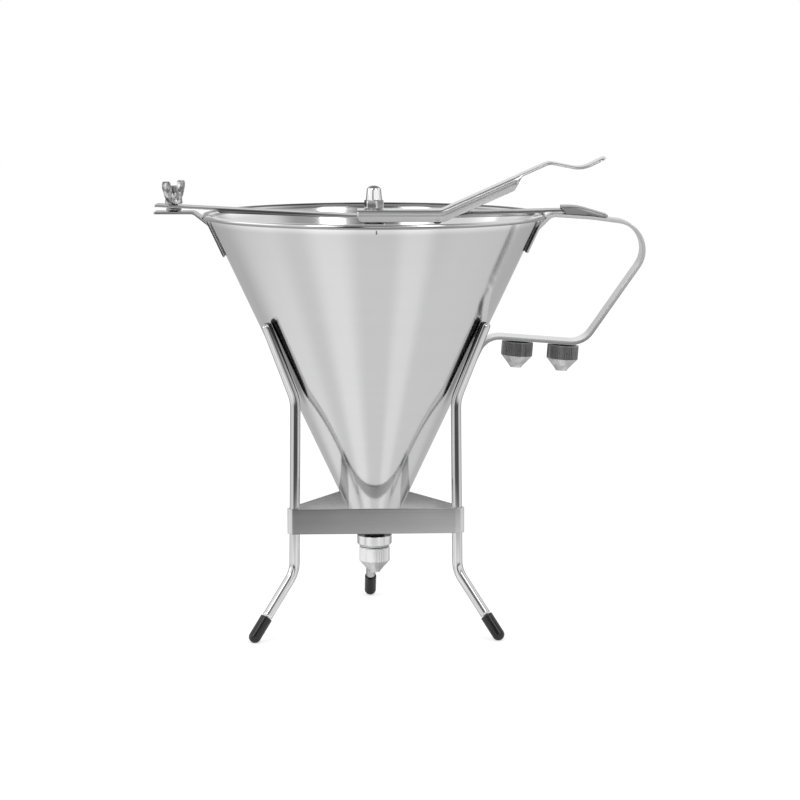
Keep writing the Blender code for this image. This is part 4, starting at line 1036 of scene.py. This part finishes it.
def make_nozzles():
    """The nozzle in use, and two spares screwed on studs under the handle's lower run."""
    steps = KNURL_COUNT * 8
    spun("nozzle_in_use", nozzle_profile(), NOZZLE_STEEL, "nozzle", "satin_steel", "dispensing_nozzle",
         origin=FUNNEL_AXIS + (0, 0, NOZZLE_TOP), steps=steps, swell=knurled)
    down = heading(-QUARTER_TURN - LOWER_RUN_SLOPE)
    for index, side in enumerate(("outer", "inner")):
        along = STUD_SETBACK + STUD_SPACING * index
        under = lower_corner + along * run_direction + (HANDLE_SHEET / 2 + GAP) * down
        seat = under + (STUD_SHOULDER + GAP) * down
        stud = [(0, 0), (STUD_SHOULDER_RADIUS, 0), (STUD_SHOULDER_RADIUS, -STUD_SHOULDER),
                (THREAD_RADIUS, -STUD_SHOULDER), (THREAD_RADIUS, -STUD_SHOULDER - STUD_LENGTH),
                (0, -STUD_SHOULDER - STUD_LENGTH)]
        spun("stud_" + side, stud, FASTENER_STEEL, "funnel", "satin_steel", "nozzle_stud_" + side,
             origin=FUNNEL_AXIS + (under[0], 0, under[1]), tilt=LOWER_RUN_SLOPE)
        spun("nozzle_" + side, nozzle_profile(), SHADED_SPARE_STEEL, "spare_" + side, "satin_steel",
             "spare_nozzle_" + side, origin=FUNNEL_AXIS + (seat[0], 0, seat[1]), tilt=LOWER_RUN_SLOPE,
             steps=steps, swell=knurled)


# Handle and hood

def make_handle():
    bent_strip("handle_loop", HANDLE_PATH, HANDLE_WIDTH, HANDLE_SHEET, HANDLE_EDGE, HANDLE_STEEL, "funnel",
               "satin_steel", "handle_strip")


def make_hood():
    """A folded hood on the handle's upper run, open towards the funnel and below."""
    upper_run = HANDLE_PATH[:len(HANDLE_PATH) // 2]
    seat_line = upper_run + normals_of(upper_run) * (HANDLE_SHEET / 2 + GAP)

    def seat(across):
        return np.interp(across, seat_line[:, 0], seat_line[:, 1])

    top = seat(HOOD_START) + HOOD_HEIGHT
    path = walked(rounded([
        (HOOD_START, top, 0), (HOOD_START + HOOD_FLAT, top, HOOD_BEND),
        (HOOD_END, seat(HOOD_END) + HOOD_SHEET + EDGE_BREAK, 0)]), WALK_STEP / 2)
    past_start = path[:, 0] - HOOD_START
    depth = path[:, 1] - seat(path[:, 0])
    depth -= HOOD_NOTCH * np.clip(1 - past_start / HOOD_NOTCH, 0, 1)
    middle = np.repeat(np.linspace(-1, 1, 7)[None, :] * HANDLE_WIDTH / 3, len(path), axis=0)
    channel("hood_shell", path, HANDLE_WIDTH / 2, HOOD_SHEET, HOOD_FOLD, EDGE_BREAK, depth, middle,
            HOOD_STEEL, "funnel", "satin_steel", "crossbar_hood")


# Clamp at the left

def mirrored(path):
    return path[::-1] * (-1, 1)


def make_bracket():
    offset = GAP + BRACKET_SHEET / 2
    past = BEAD_CENTRE + (RIM_BEAD + offset) * heading(BRACKET_LEAN - QUARTER_TURN)
    level = np.array([BRACKET_END, BRACKET_TOP - BRACKET_SHEET / 2])
    foot = crossing(cone_line(offset), CONE_UPWARD, past, heading(BRACKET_LEAN))
    path = rounded([
        (*(foot - BRACKET_FOOT * CONE_UPWARD), 0),
        (*foot, BRACKET_BEND),
        (*crossing(level, np.array([1, 0]), past, heading(BRACKET_LEAN)), BRACKET_BEND),
        (*level, 0)])
    bent_strip("bracket_strip", mirrored(path), BRACKET_WIDTH, BRACKET_SHEET, EDGE_BREAK, BRACKET_STEEL,
               "funnel", "satin_steel", "left_bracket")


def hexagonal(flats):
    """A swell that cuts a round profile to a hexagon with slightly rounded corners."""
    def cut(radius, height, angle):
        faces = np.cos(angle[..., None] - np.arange(6) * FULL_TURN / 6 - FULL_TURN / 12).clip(0)
        side = flats / 2 / (faces ** HEXAGON_SHARPNESS).sum(-1) ** (1 / HEXAGON_SHARPNESS)
        return np.minimum(radius, side)
    return cut


def threaded(radius, height, angle):
    """A screw thread: the radius falls by a triangle wave of the height less the angle's share."""
    phase = (height / BOLT_PITCH - angle / FULL_TURN) % 1
    wave = np.abs(phase - 0.5) * 2
    cut = np.minimum(radius, BOLT_RADIUS - BOLT_THREAD_DEPTH * wave)
    return np.where(radius > BOLT_RADIUS - BOLT_THREAD_DEPTH, cut, radius)


def make_clamp():
    """Countersunk bolt, thin lock nut and the wing nut that holds the crossbar down."""
    origin = np.array([AXIS_X - BOLT_PLACE, 0, 0])
    bolt_top = WING_BOTTOM + BOLT_ABOVE_BAR
    head = BOLT_HEAD_RADIUS - BOLT_RADIUS
    heights = np.arange(bolt_top - BOLT_THREAD_DEPTH, BRACKET_TOP, -BOLT_PITCH / 8)
    shank = np.stack([np.full(len(heights), BOLT_RADIUS), heights], -1)
    core = BOLT_RADIUS - BOLT_THREAD_DEPTH
    profile = np.concatenate([
        [(0, bolt_top), (core, bolt_top)], shank,
        [(core, BRACKET_TOP - GAP), (core, BRACKET_BOTTOM + head + BOLT_THREAD_DEPTH),
         (BOLT_HEAD_RADIUS, BRACKET_BOTTOM), (0, BRACKET_BOTTOM)]])
    spun("threaded_bolt", profile, FASTENER_STEEL, "funnel", "satin_steel", "clamp_bolt", origin=origin,
         steps=64, swell=threaded)
    bore = BOLT_RADIUS + GAP
    corner = LOCK_NUT_FLATS / 2 / cos(FULL_TURN / 12)
    face = LOCK_NUT_FLATS / 2 * NUT_FACE_SHARE
    bottom = LOCK_NUT_TOP - LOCK_NUT_LENGTH
    nut = [(bore, LOCK_NUT_TOP), (face, LOCK_NUT_TOP), (corner, LOCK_NUT_TOP - GAP),
           (corner, bottom + GAP), (face, bottom), (bore, bottom)]
    spun("thin_nut", nut, VALVE_STEEL, "funnel", "satin_steel", "lock_nut", origin=origin,
         turn=LOCK_NUT_TURN, steps=180, swell=hexagonal(LOCK_NUT_FLATS))
    make_wing_nut(origin + (0, 0, WING_BOTTOM), bore)


def make_wing_nut(seat, bore):
    """A waisted barrel and two ears as one cast skin: solids joined by small cubes, then smoothed."""
    barrel = np.array([(WING_BASE_RADIUS, 0), (bore, 0), (bore, WING_BASE_LENGTH),
                       (WING_NECK_RADIUS, WING_BASE_LENGTH)])
    steps = 72
    points = [rings(barrel[:, :1], barrel[:, 1:], all_round(steps)).reshape(-1, 3)]
    faces = [grid_faces(len(barrel), steps, True)]
    ear = rounded([(across * WING_SPAN / 2, up * WING_HEIGHT, WING_ROUND if up > 0.5 else 0)
                   for across, up in WING_OUTLINE_SHARES], closed=True)
    count = len(points[0])
    for side in (1, -1):
        outline = ear * (side, 1)
        near_side, far_side = [np.stack([outline[:, 0], np.full(len(ear), half), outline[:, 1]], -1)
                               for half in (-WING_THICKNESS / 2, WING_THICKNESS / 2)]
        points += [near_side, far_side]
        index = np.arange(len(ear))
        beside = (index + 1) % len(ear)
        faces.append(count + np.stack([index, beside, beside + len(ear), index + len(ear)], -1))
        faces.append(count + index[None, :])
        faces.append(count + len(ear) + index[None, ::-1])
        count += 2 * len(ear)
    nut = put("winged_nut", placed(np.concatenate(points), seat, turn=WING_TURN), faces, CAST_STEEL,
              "wing_nut", "cast_steel", "wing_nut")
    remesh = nut.modifiers.new("skin", "REMESH")
    remesh.mode = "VOXEL"
    remesh.voxel_size = WING_GRAIN
    remesh.use_smooth_shade = True
    smooth = nut.modifiers.new("smooth", "SMOOTH")
    smooth.factor = 0.5
    smooth.iterations = 9


# Crossbar

def make_crossbar():
    """An inverted channel whose flanges stop inside the rim, with ears for the lever's pin."""
    corners = [(*corner, BAR_KNEE_BEND if 0 < index < 4 else 0) for index, corner in enumerate(BAR_CORNERS)]
    path = walked(rounded(corners))
    across = path[:, 0]
    flange_start = -(RIM_RADIUS - BAR_FLANGE_INSET)
    flange_taper = flange_start - BAR_FLANGE_TAPER
    flange_end = RIM_RADIUS - BAR_FLANGE_END_INSET
    notch = flange_end - BAR_NOTCH
    rest = bar_height(notch) - RIM_TOP - GAP
    knee_end = BAR_CORNERS[3][0]
    depth = np.interp(across, [flange_taper, flange_start, BAR_CORNERS[1][0], BAR_CORNERS[2][0], knee_end,
                               notch - BAR_NOTCH_SLOPE, notch, flange_end, flange_end + WALK_STEP],
                      [0, BAR_FLANGE_LEFT, BAR_FLANGE_CENTRE, BAR_FLANGE_CENTRE, BAR_FLANGE_RIGHT,
                       BAR_FLANGE_RIGHT, rest, rest, 0])
    from_pivot = np.abs(across - PIVOT_REACH)
    ear = BAR_TOP - PIVOT_HEIGHT + np.sqrt(np.clip(EAR_RADIUS ** 2 - from_pivot ** 2, 0, None))
    depth = np.where(from_pivot < EAR_RADIUS, np.maximum(depth, ear), depth)
    past_bolt = np.clip((across + BOLT_PLACE) / BAR_SLOT_RADIUS, 0, 1)
    slot = BAR_SLOT_RADIUS * np.sqrt(1 - past_bolt ** 2)
    past_slot = np.clip((across + BOLT_PLACE - BAR_SLOT_RADIUS) / BAR_SLOT_RADIUS, 0, 1)
    slot = np.maximum(slot, BAR_SLOT_RADIUS * past_slot).clip(EDGE_BREAK / 2)[:, None]
    outermost = BAR_WIDTH / 2 - 2 * BAR_FOLD
    middle = np.concatenate([np.full_like(slot, -outermost), -slot, slot, np.full_like(slot, outermost)], 1)
    channel("crossbar_channel", path, BAR_WIDTH / 2, BAR_SHEET, BAR_FOLD, EDGE_BREAK, depth, middle,
            BAR_STEEL, "funnel", "satin_steel", "crossbar",
            slotted=across[1:] < BAR_SLOT_RADIUS - BOLT_PLACE)


# Lever and its pin

def make_lever():
    """A channel over the crossbar, bent up beyond the pin and drawn out into a thumb tab."""
    tail = np.array([-LEVER_TAIL, LEVER_TOP])
    bend = np.array([PIVOT_REACH + LEVER_BEND_REACH, LEVER_TOP])
    crest = bend + LEVER_SLANT * heading(LEVER_SLOPE)
    dip = crest + TAB_FALL_LENGTH * heading(-TAB_FALL)
    tip = dip + TAB_LIFT_LENGTH * heading(TAB_LIFT)
    path = walked(rounded([(*tail, 0), (*bend, LEVER_BEND), (*crest, TAB_CREST_BEND), (*dip, TAB_DIP_BEND),
                           (*tip, 0)]))
    along = lengths_along(path)
    to_tip = along[-1] - along
    flange_end = bend[0] - tail[0] + LEVER_FLANGE_RUN
    depth = LEVER_DEPTH * np.clip((flange_end - along) / LEVER_END_CUT, 0, 1)
    in_corner = np.clip(LEVER_CORNER - along, 0, LEVER_CORNER)
    depth -= LEVER_CORNER - np.sqrt(LEVER_CORNER ** 2 - in_corner ** 2)
    in_tip = np.clip(TAB_CORNER - to_tip, 0, TAB_CORNER - EDGE_BREAK)
    half = LEVER_WIDTH / 2 - (TAB_CORNER - np.sqrt(TAB_CORNER ** 2 - in_tip ** 2))
    places = np.array([-1.6, -1.0, 1.0, 1.6]) * ROD_SLOT_HALF
    middle = places * (half / half.max())[:, None]
    centres = (path[1:, 0] + path[:-1, 0]) / 2
    slotted = (centres > -ROD_SLOT_LEFT) & (centres < ROD_SLOT_RIGHT)
    channel("lever_channel", path, half, LEVER_SHEET, LEVER_FOLD, EDGE_BREAK, depth, middle, LEVER_STEEL,
            "lever", "satin_steel", "lever", slotted=slotted, crease=LEVER_CREASE,
            crease_out=LEVER_CREASE_OUT)


def make_pivot_pin():
    """A plain pin whose ends are peened just proud of the lever's sides."""
    end = LEVER_WIDTH / 2 + PIVOT_PROUD
    round_end = PIVOT_RADIUS / 3
    half = [(0, end), (PIVOT_RADIUS - round_end, end - PIVOT_PROUD / 4), (PIVOT_RADIUS, end - PIVOT_PROUD)]
    profile = half + [(radius, -height) for radius, height in half[::-1]]
    profile = np.array(profile)
    points = rings(profile[:, :1], profile[:, 1:], all_round(ROUND_STEPS))[..., [0, 2, 1]]
    put("peened_pin", points + (AXIS_X + PIVOT_REACH, 0, PIVOT_HEIGHT),
        [grid_faces(len(profile), ROUND_STEPS)], LEVER_STEEL, "funnel", "satin_steel", "pivot_pin")


# Valve

def make_dome_nut():
    """A chamfered hexagon under a slightly tapered dome, bored from below for the rod."""
    across_flats = NUT_FLATS / 2
    corner = across_flats / cos(FULL_TURN / 12)
    chamfer = np.linspace(0, 1, 9)[:, None]
    under, over = across_flats * NUT_UNDERSIDE_SHARE, across_flats * NUT_FACE_SHARE
    lower = (under, NUT_BOTTOM) + chamfer * (corner - under, NUT_CHAMFER)
    upper = (corner, NUT_TOP - NUT_CHAMFER) + chamfer * (over - corner, NUT_CHAMFER)
    crown_angles = np.linspace(0, QUARTER_TURN, 19)
    crown = np.stack([DOME_TOP_RADIUS * np.cos(crown_angles),
                      DOME_TOP - DOME_ROUND + DOME_ROUND * np.sin(crown_angles)], -1)
    crown[-1, 0] = 0
    foot = arc((DOME_RADIUS + EDGE_BREAK, NUT_TOP + EDGE_BREAK), EDGE_BREAK, -QUARTER_TURN, -pi)
    profile = np.concatenate([
        [(0, ROD_TOP + GAP), (ROD_BORE, ROD_TOP + GAP), (ROD_BORE, NUT_BOTTOM)],
        lower, upper, foot, crown])
    hexagon = hexagonal(NUT_FLATS)

    def cut(radius, height, angle):
        return np.where(height <= NUT_TOP, np.minimum(radius, hexagon(radius, height, angle)), radius)

    spun("domed_nut", profile, DOME_STEEL, "rod", "polished_steel", "dome_nut", steps=360, turn=NUT_TURN,
         swell=cut)


def make_valve():
    """Rod, guide bush, washer, collar and plug."""
    rod_bottom = PLUG_TOP - PLUG_SOCKET + GAP
    spun("rod", [(0, ROD_TOP), (ROD_RADIUS - GAP, ROD_TOP), (ROD_RADIUS, ROD_TOP - GAP),
                 (ROD_RADIUS, rod_bottom), (0, rod_bottom)], TURNED_STEEL, "rod", "satin_steel", "valve_rod")
    neck_top = BAR_TOP + GAP
    bush = fillets([(BUSH_NECK_RADIUS, neck_top), (BUSH_NECK_RADIUS, BUSH_TOP), (BUSH_RADIUS, BUSH_TOP),
                    (BUSH_RADIUS, BUSH_BOTTOM), (ROD_BORE, BUSH_BOTTOM), (ROD_BORE, neck_top)], GAP / 2)
    spun("bush", bush, VALVE_STEEL, "funnel", "satin_steel", "guide_bush")
    ring("washer", WASHER_RADIUS, ROD_BORE, WASHER_BOTTOM, WASHER_TOP, VALVE_STEEL, "funnel", "satin_steel",
         "spring_washer")
    collar_top = SPRING_BOTTOM - GAP
    ring("collar", SPRING_COLLAR_RADIUS, ROD_BORE, collar_top - SPRING_COLLAR_LENGTH, collar_top,
         TURNED_STEEL, "rod", "satin_steel", "spring_collar")
    plug = fillets([(0, PLUG_TOP - PLUG_SOCKET), (ROD_BORE, PLUG_TOP - PLUG_SOCKET), (ROD_BORE, PLUG_TOP),
                    (PLUG_TOP_RADIUS, PLUG_TOP), (PLUG_RADIUS, PLUG_TOP - PLUG_TAPER),
                    (PLUG_RADIUS, PLUG_SHOULDER), (PLUG_NOSE_RADIUS, PLUG_NOSE), (0, PLUG_NOSE)])
    spun("plug", plug, BLACK_RUBBER, "rod", "black_rubber", "valve_plug")


def make_spring():
    """A circle carried along a helix, with each end run straight to what it bears on."""
    turns = np.linspace(0, SPRING_CURLS, SPRING_CURLS * SPRING_STEPS + 1)
    wound_top = SPRING_TOP - SPRING_WIRE / 2
    fall = (SPRING_LENGTH - SPRING_WIRE) / SPRING_CURLS
    angle = FULL_TURN * turns
    radial = np.stack([np.cos(angle), np.sin(angle), np.zeros_like(angle)], -1)
    centre = FUNNEL_AXIS + SPRING_MEAN_RADIUS * radial + np.stack(
        [np.zeros_like(turns), np.zeros_like(turns), wound_top - fall * turns], -1)
    tangent = unit(np.gradient(centre, axis=0))
    other = np.cross(tangent, radial)
    around = all_round(SPRING_SIDES)[:, None]
    radii = np.full(len(turns), SPRING_WIRE / 2)
    radii[[0, -1]] = 0
    centre[0], centre[-1] = centre[1], centre[-2]
    points = centre[:, None] + radii[:, None, None] * (
        radial[:, None] * np.cos(around) + other[:, None] * np.sin(around))
    spring = put("coiled_spring", points, [grid_faces(len(turns), SPRING_SIDES)], SPRING_STEEL, "funnel",
                 "spring_steel", "return_spring")
    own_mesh(spring)


# Stand

def leg_path():
    """A leg in its own plane, (reach, height), with the wire's radius at each point."""
    top = cone_line(WIRE_RADIUS + GAP) - LEG_DROP / cos(CONE_HALF_ANGLE) * CONE_UPWARD
    leaning = heading(QUARTER_TURN - LEG_LEAN)
    at_band = np.array([LEG_RADIUS, BAND_MIDDLE])
    shank = heading(QUARTER_TURN + SHANK_SPLAY)
    upper = crossing(top, leaning, at_band, shank)
    ball = np.array([FOOT_REACH, FOOT_RADIUS - FOOT_FLAT])
    up_leg = heading(QUARTER_TURN + SPLAY_ANGLE)
    lower = crossing(ball, up_leg, at_band, shank)
    tip_face = ball + (FOOT_LENGTH - FOOT_RADIUS) * up_leg
    run = walked(rounded([(*top, 0), (*upper, UPPER_BEND), (*lower, LOWER_BEND),
                          (*(tip_face + 2 * GAP * up_leg), 0)]), WALK_STEP * 2)
    angles = np.linspace(QUARTER_TURN, 0, 8)[:-1]
    dome = top + WIRE_END_ROUND * np.sin(angles)[:, None] * leaning
    tenon = [tip_face + GAP * up_leg, tip_face - TENON_LENGTH * up_leg, tip_face - TENON_LENGTH * up_leg]
    dome_radii = WIRE_RADIUS * np.cos(angles)
    dome_radii[0] = 0
    radii = np.concatenate([dome_radii, np.full(len(run), WIRE_RADIUS), [TENON_RADIUS, TENON_RADIUS, 0]])
    path = np.concatenate([dome, run, tenon])
    path[-1] -= MERGE_DISTANCE * up_leg
    return path, radii, ball


def make_stand():
    path, radii, ball = leg_path()
    side = FOOT_LENGTH - FOOT_RADIUS
    socket = TENON_RADIUS + GAP
    foot_profile = np.concatenate([
        [(0, side - TENON_LENGTH - GAP), (socket, side - TENON_LENGTH - GAP), (socket, side)],
        arc((FOOT_RADIUS - FOOT_LIP, side - FOOT_LIP), FOOT_LIP, QUARTER_TURN, 0),
        arc((0, 0), FOOT_RADIUS, 0, -QUARTER_TURN)[:-1],
        [(0, -FOOT_RADIUS)]])
    for corner, azimuth in LEG_AZIMUTHS.items():
        azimuth += STAND_TURN
        tube(corner + "_wire", path, radii, azimuth, WIRE_CHROME, "stand", "bright_wire", corner + "_leg")
        make_foot(corner, azimuth, foot_profile, ball)


def make_foot(corner, azimuth, profile, ball):
    """A round tip on the wire's end; what would lie under the floor is pressed flat."""
    points = rings(profile[:, :1], profile[:, 1:], all_round(FOOT_SIDES))
    points = placed(points, (ball[0], 0, ball[1]), -SPLAY_ANGLE)
    points = placed(points, FUNNEL_AXIS, turn=azimuth)
    points[..., 2] = points[..., 2].clip(0)
    put(corner + "_tip", points, [grid_faces(len(profile), FOOT_SIDES)], BLACK_RUBBER, "stand",
        "black_rubber", corner + "_foot")


def band_loop(radius):
    """A line round the three legs: an arc about each, and even steps along the straight runs."""
    arcs = []
    for azimuth in sorted(LEG_AZIMUTHS.values()):
        azimuth += STAND_TURN
        centre = LEG_RADIUS * heading(azimuth)
        arcs.append(arc(centre, radius, azimuth - FULL_TURN / 6, azimuth + FULL_TURN / 6))
    loop = []
    share = np.linspace(0, 1, 40)[1:-1, None]
    for index, bend in enumerate(arcs):
        following = arcs[(index + 1) % 3]
        loop += [bend, bend[-1] + (following[0] - bend[-1]) * share]
    return np.concatenate(loop)


def make_band():
    """A flat strip bent round the outside of the three legs."""
    heights = np.linspace(BAND_TOP - EDGE_BREAK, BAND_TOP - BAND_HEIGHT + EDGE_BREAK, 5)[:, None]
    grids = []
    for radius in (WIRE_RADIUS + GAP + BAND_SHEET, WIRE_RADIUS + GAP):
        loop = band_loop(radius)
        grids.append(np.stack([np.broadcast_to(loop[:, 0] + AXIS_X, (5, len(loop))),
                               np.broadcast_to(loop[:, 1], (5, len(loop))),
                               np.broadcast_to(heights, (5, len(loop)))], -1))
    sheet("band_strip", grids[0], grids[1], EDGE_BREAK, BAND_STEEL, "stand", "satin_steel", "leg_band",
          wrapped=True)


# Studio

FLOOR_SIZE = 12.0
FLOOR_DROP = 0.0002
FLOOR_COLOUR = 0.80
CAMERA_GLOW = 0.56
REFLECTED_GLOW = 0.32
WORLD_LIGHT = 0.55
STUDIO_EYE = (AXIS_X, 0, 0.15)
CAMERA_PLACE = (0.0, -1.398, 0.3383)
CAMERA_TILT = radians(8.244)
LENS = 107.72
SCREENS = (138, 14, 26)
CAMERA_STAND = (-14, 5, 11)
SCREENS_TONE = 0.55
CAMERA_STAND_TONE = 0.06


def azimuth_of(vector):
    """Azimuth and height of a vector; azimuth 0 is the camera's side, and grows to the right."""
    x, y, z = parts(vector)
    return x.math("ARCTAN2", y * -1.0), z


def bump(angle, centre, inner, outer):
    """One up to inner degrees from the centre, and nothing beyond outer degrees from it."""
    return ramp(abs(angle - radians(centre)), radians(inner), radians(outer), 1.0, 0.0)


def seen_rays(tree):
    """Which rays show the pale background, and which of them are reflections."""
    path = node(tree, "ShaderNodeLightPath").outputs
    camera, through, glossy = [Field(tree, path[name]) for name in
                               ("Is Camera Ray", "Is Transmission Ray", "Is Glossy Ray")]
    return camera.math("MAXIMUM", through).math("MAXIMUM", glossy), glossy


def floor_tone(tree):
    """Grey of the floor in reflections: a pale table with a darker room around its far edge."""
    place = from_axis(field(tree, "ShaderNodeNewGeometry", output="Position"))
    azimuth, height = azimuth_of(place)
    reach = field(tree, "ShaderNodeVectorMath", {0: place}, "Value", operation="LENGTH")
    behind = ramp(abs(azimuth), radians(108), radians(138))
    near = (bump(azimuth, -33, 5, 25) * 0.23 + bump(azimuth, 32, 5, 19) * 0.18
            + bump(azimuth, -92, 8, 30) * 0.16 - behind * 0.18 + 0.92)
    near = near * ramp(reach, 0.08, 0.24, 1.04, 1.0)
    far = mixed(bump(azimuth, 10, 32, 58), mixed(behind, 0.84, 0.66), 0.09)
    distant = ramp(reach, 0.22, 0.58) * ramp(reach, 1.4, 2.1, 1.0, 0.0)
    screens = bump(abs(azimuth), *SCREENS) * ramp(reach, 0.60, 1.2)
    camera_stand = bump(azimuth, *CAMERA_STAND) * ramp(reach, 0.6, 1.0)
    return mixed(camera_stand, mixed(screens, mixed(distant, near, far), SCREENS_TONE), CAMERA_STAND_TONE)


def room_tone(tree):
    """Grey of the room in reflections: pale behind, darker in front between the lamps and overhead."""
    azimuth, height = azimuth_of(field(tree, "ShaderNodeTexCoord", output="Generated"))
    raised = ramp(height, 0.15, 0.40)
    sides = mixed(raised, 0.92, mixed(bump(azimuth, 50, 20, 45), 0.95, 0.45))
    front = mixed(bump(azimuth, -7, 20, 32) * raised, sides, 0.24)
    behind = ramp(abs(azimuth), radians(95), radians(130))
    level = mixed(behind, front, ramp(height, 0.09, 0.18, 0.55, 1.0))
    level = mixed(bump(abs(azimuth), *SCREENS) * ramp(height, 0.35, 0.20), level, SCREENS_TONE)
    left_sheet = bump(azimuth, -89, 20, 24) * ramp(height, 0.02, 0.10) * ramp(height, 0.60, 0.45)
    level = mixed(left_sheet, level, 1.7)
    camera_stand = bump(azimuth, *CAMERA_STAND) * ramp(height, 0.60, 0.40)
    return mixed(ramp(height, 0.70, 0.88), mixed(camera_stand, level, CAMERA_STAND_TONE), 0.36)


def make_world():
    """White where it is looked at; metal shows the same background with the room's soft greys."""
    world = bpy.data.worlds.new("studio")
    bpy.context.scene.world = world
    world.use_nodes = True
    tree = world.node_tree
    seen, glossy = seen_rays(tree)
    background = tree.nodes["Background"].inputs
    mixed(glossy, 1.0, room_tone(tree)).feed(background["Color"])
    mixed(seen, WORLD_LIGHT, 1.0).feed(background["Strength"])


def make_floor():
    """A wide pale floor: it shines white where it is looked at, and still takes the shadow."""
    mesh = bpy.data.meshes.new("floor")
    corners = [(x * FLOOR_SIZE / 2, y * FLOOR_SIZE / 2, -FLOOR_DROP)
               for x, y in ((-1, -1), (1, -1), (1, 1), (-1, 1))]
    mesh.from_pydata(corners, [], [(0, 1, 2, 3)])
    material, shader, place = new_material("pale_floor")
    tree = material.node_tree
    seen, glossy = seen_rays(tree)
    tone = mixed(glossy, 1.0, floor_tone(tree))
    (tone * FLOOR_COLOUR).feed(shader.inputs["Base Color"])
    shader.inputs["Roughness"].default_value = 1.0
    shader.inputs["Specular IOR Level"].default_value = 0.0
    glow = mixed(glossy, CAMERA_GLOW, REFLECTED_GLOW) * seen
    emission = field(tree, "ShaderNodeEmission", {"Color": tone, "Strength": glow})
    both = field(tree, "ShaderNodeAddShader", {0: shader.outputs[0], 1: emission})
    both.feed(tree.nodes["Material Output"].inputs["Surface"])
    mesh.materials.append(material)
    add_thing("floor", mesh)


def make_lamp(name, azimuth, elevation, distance, width, height, power):
    """A soft box that faces the funnel; azimuth 0 is the camera's side, and grows to the right."""
    lamp = bpy.data.lights.new(name, "AREA")
    lamp.shape = "RECTANGLE"
    lamp.size = width
    lamp.size_y = height
    lamp.energy = power
    thing = add_thing(name, lamp)
    away = np.array([sin(azimuth) * cos(elevation), -cos(azimuth) * cos(elevation), sin(elevation)])
    thing.location = away * distance + STUDIO_EYE
    thing.rotation_euler = (QUARTER_TURN - elevation, 0, azimuth)


def make_camera():
    camera = bpy.data.cameras.new("camera")
    camera.lens = LENS
    thing = add_thing("camera", camera)
    thing.location = CAMERA_PLACE
    thing.rotation_euler = (QUARTER_TURN - CAMERA_TILT, 0, 0)
    bpy.context.scene.camera = thing


make_camera()
make_world()
make_floor()
make_lamp("right_box", radians(40), radians(40), 2.2, 0.60, 1.5, 7)
make_lamp("left_box", radians(-38), radians(40), 2.2, 0.64, 1.5, 7.5)

make_cone()
make_outlet()
make_nozzles()
make_handle()
make_hood()
make_bracket()
make_clamp()
make_crossbar()
make_lever()
make_pivot_pin()
make_dome_nut()
make_valve()
make_spring()
make_stand()
make_band()

bpy.context.scene.view_settings.view_transform = "Standard"
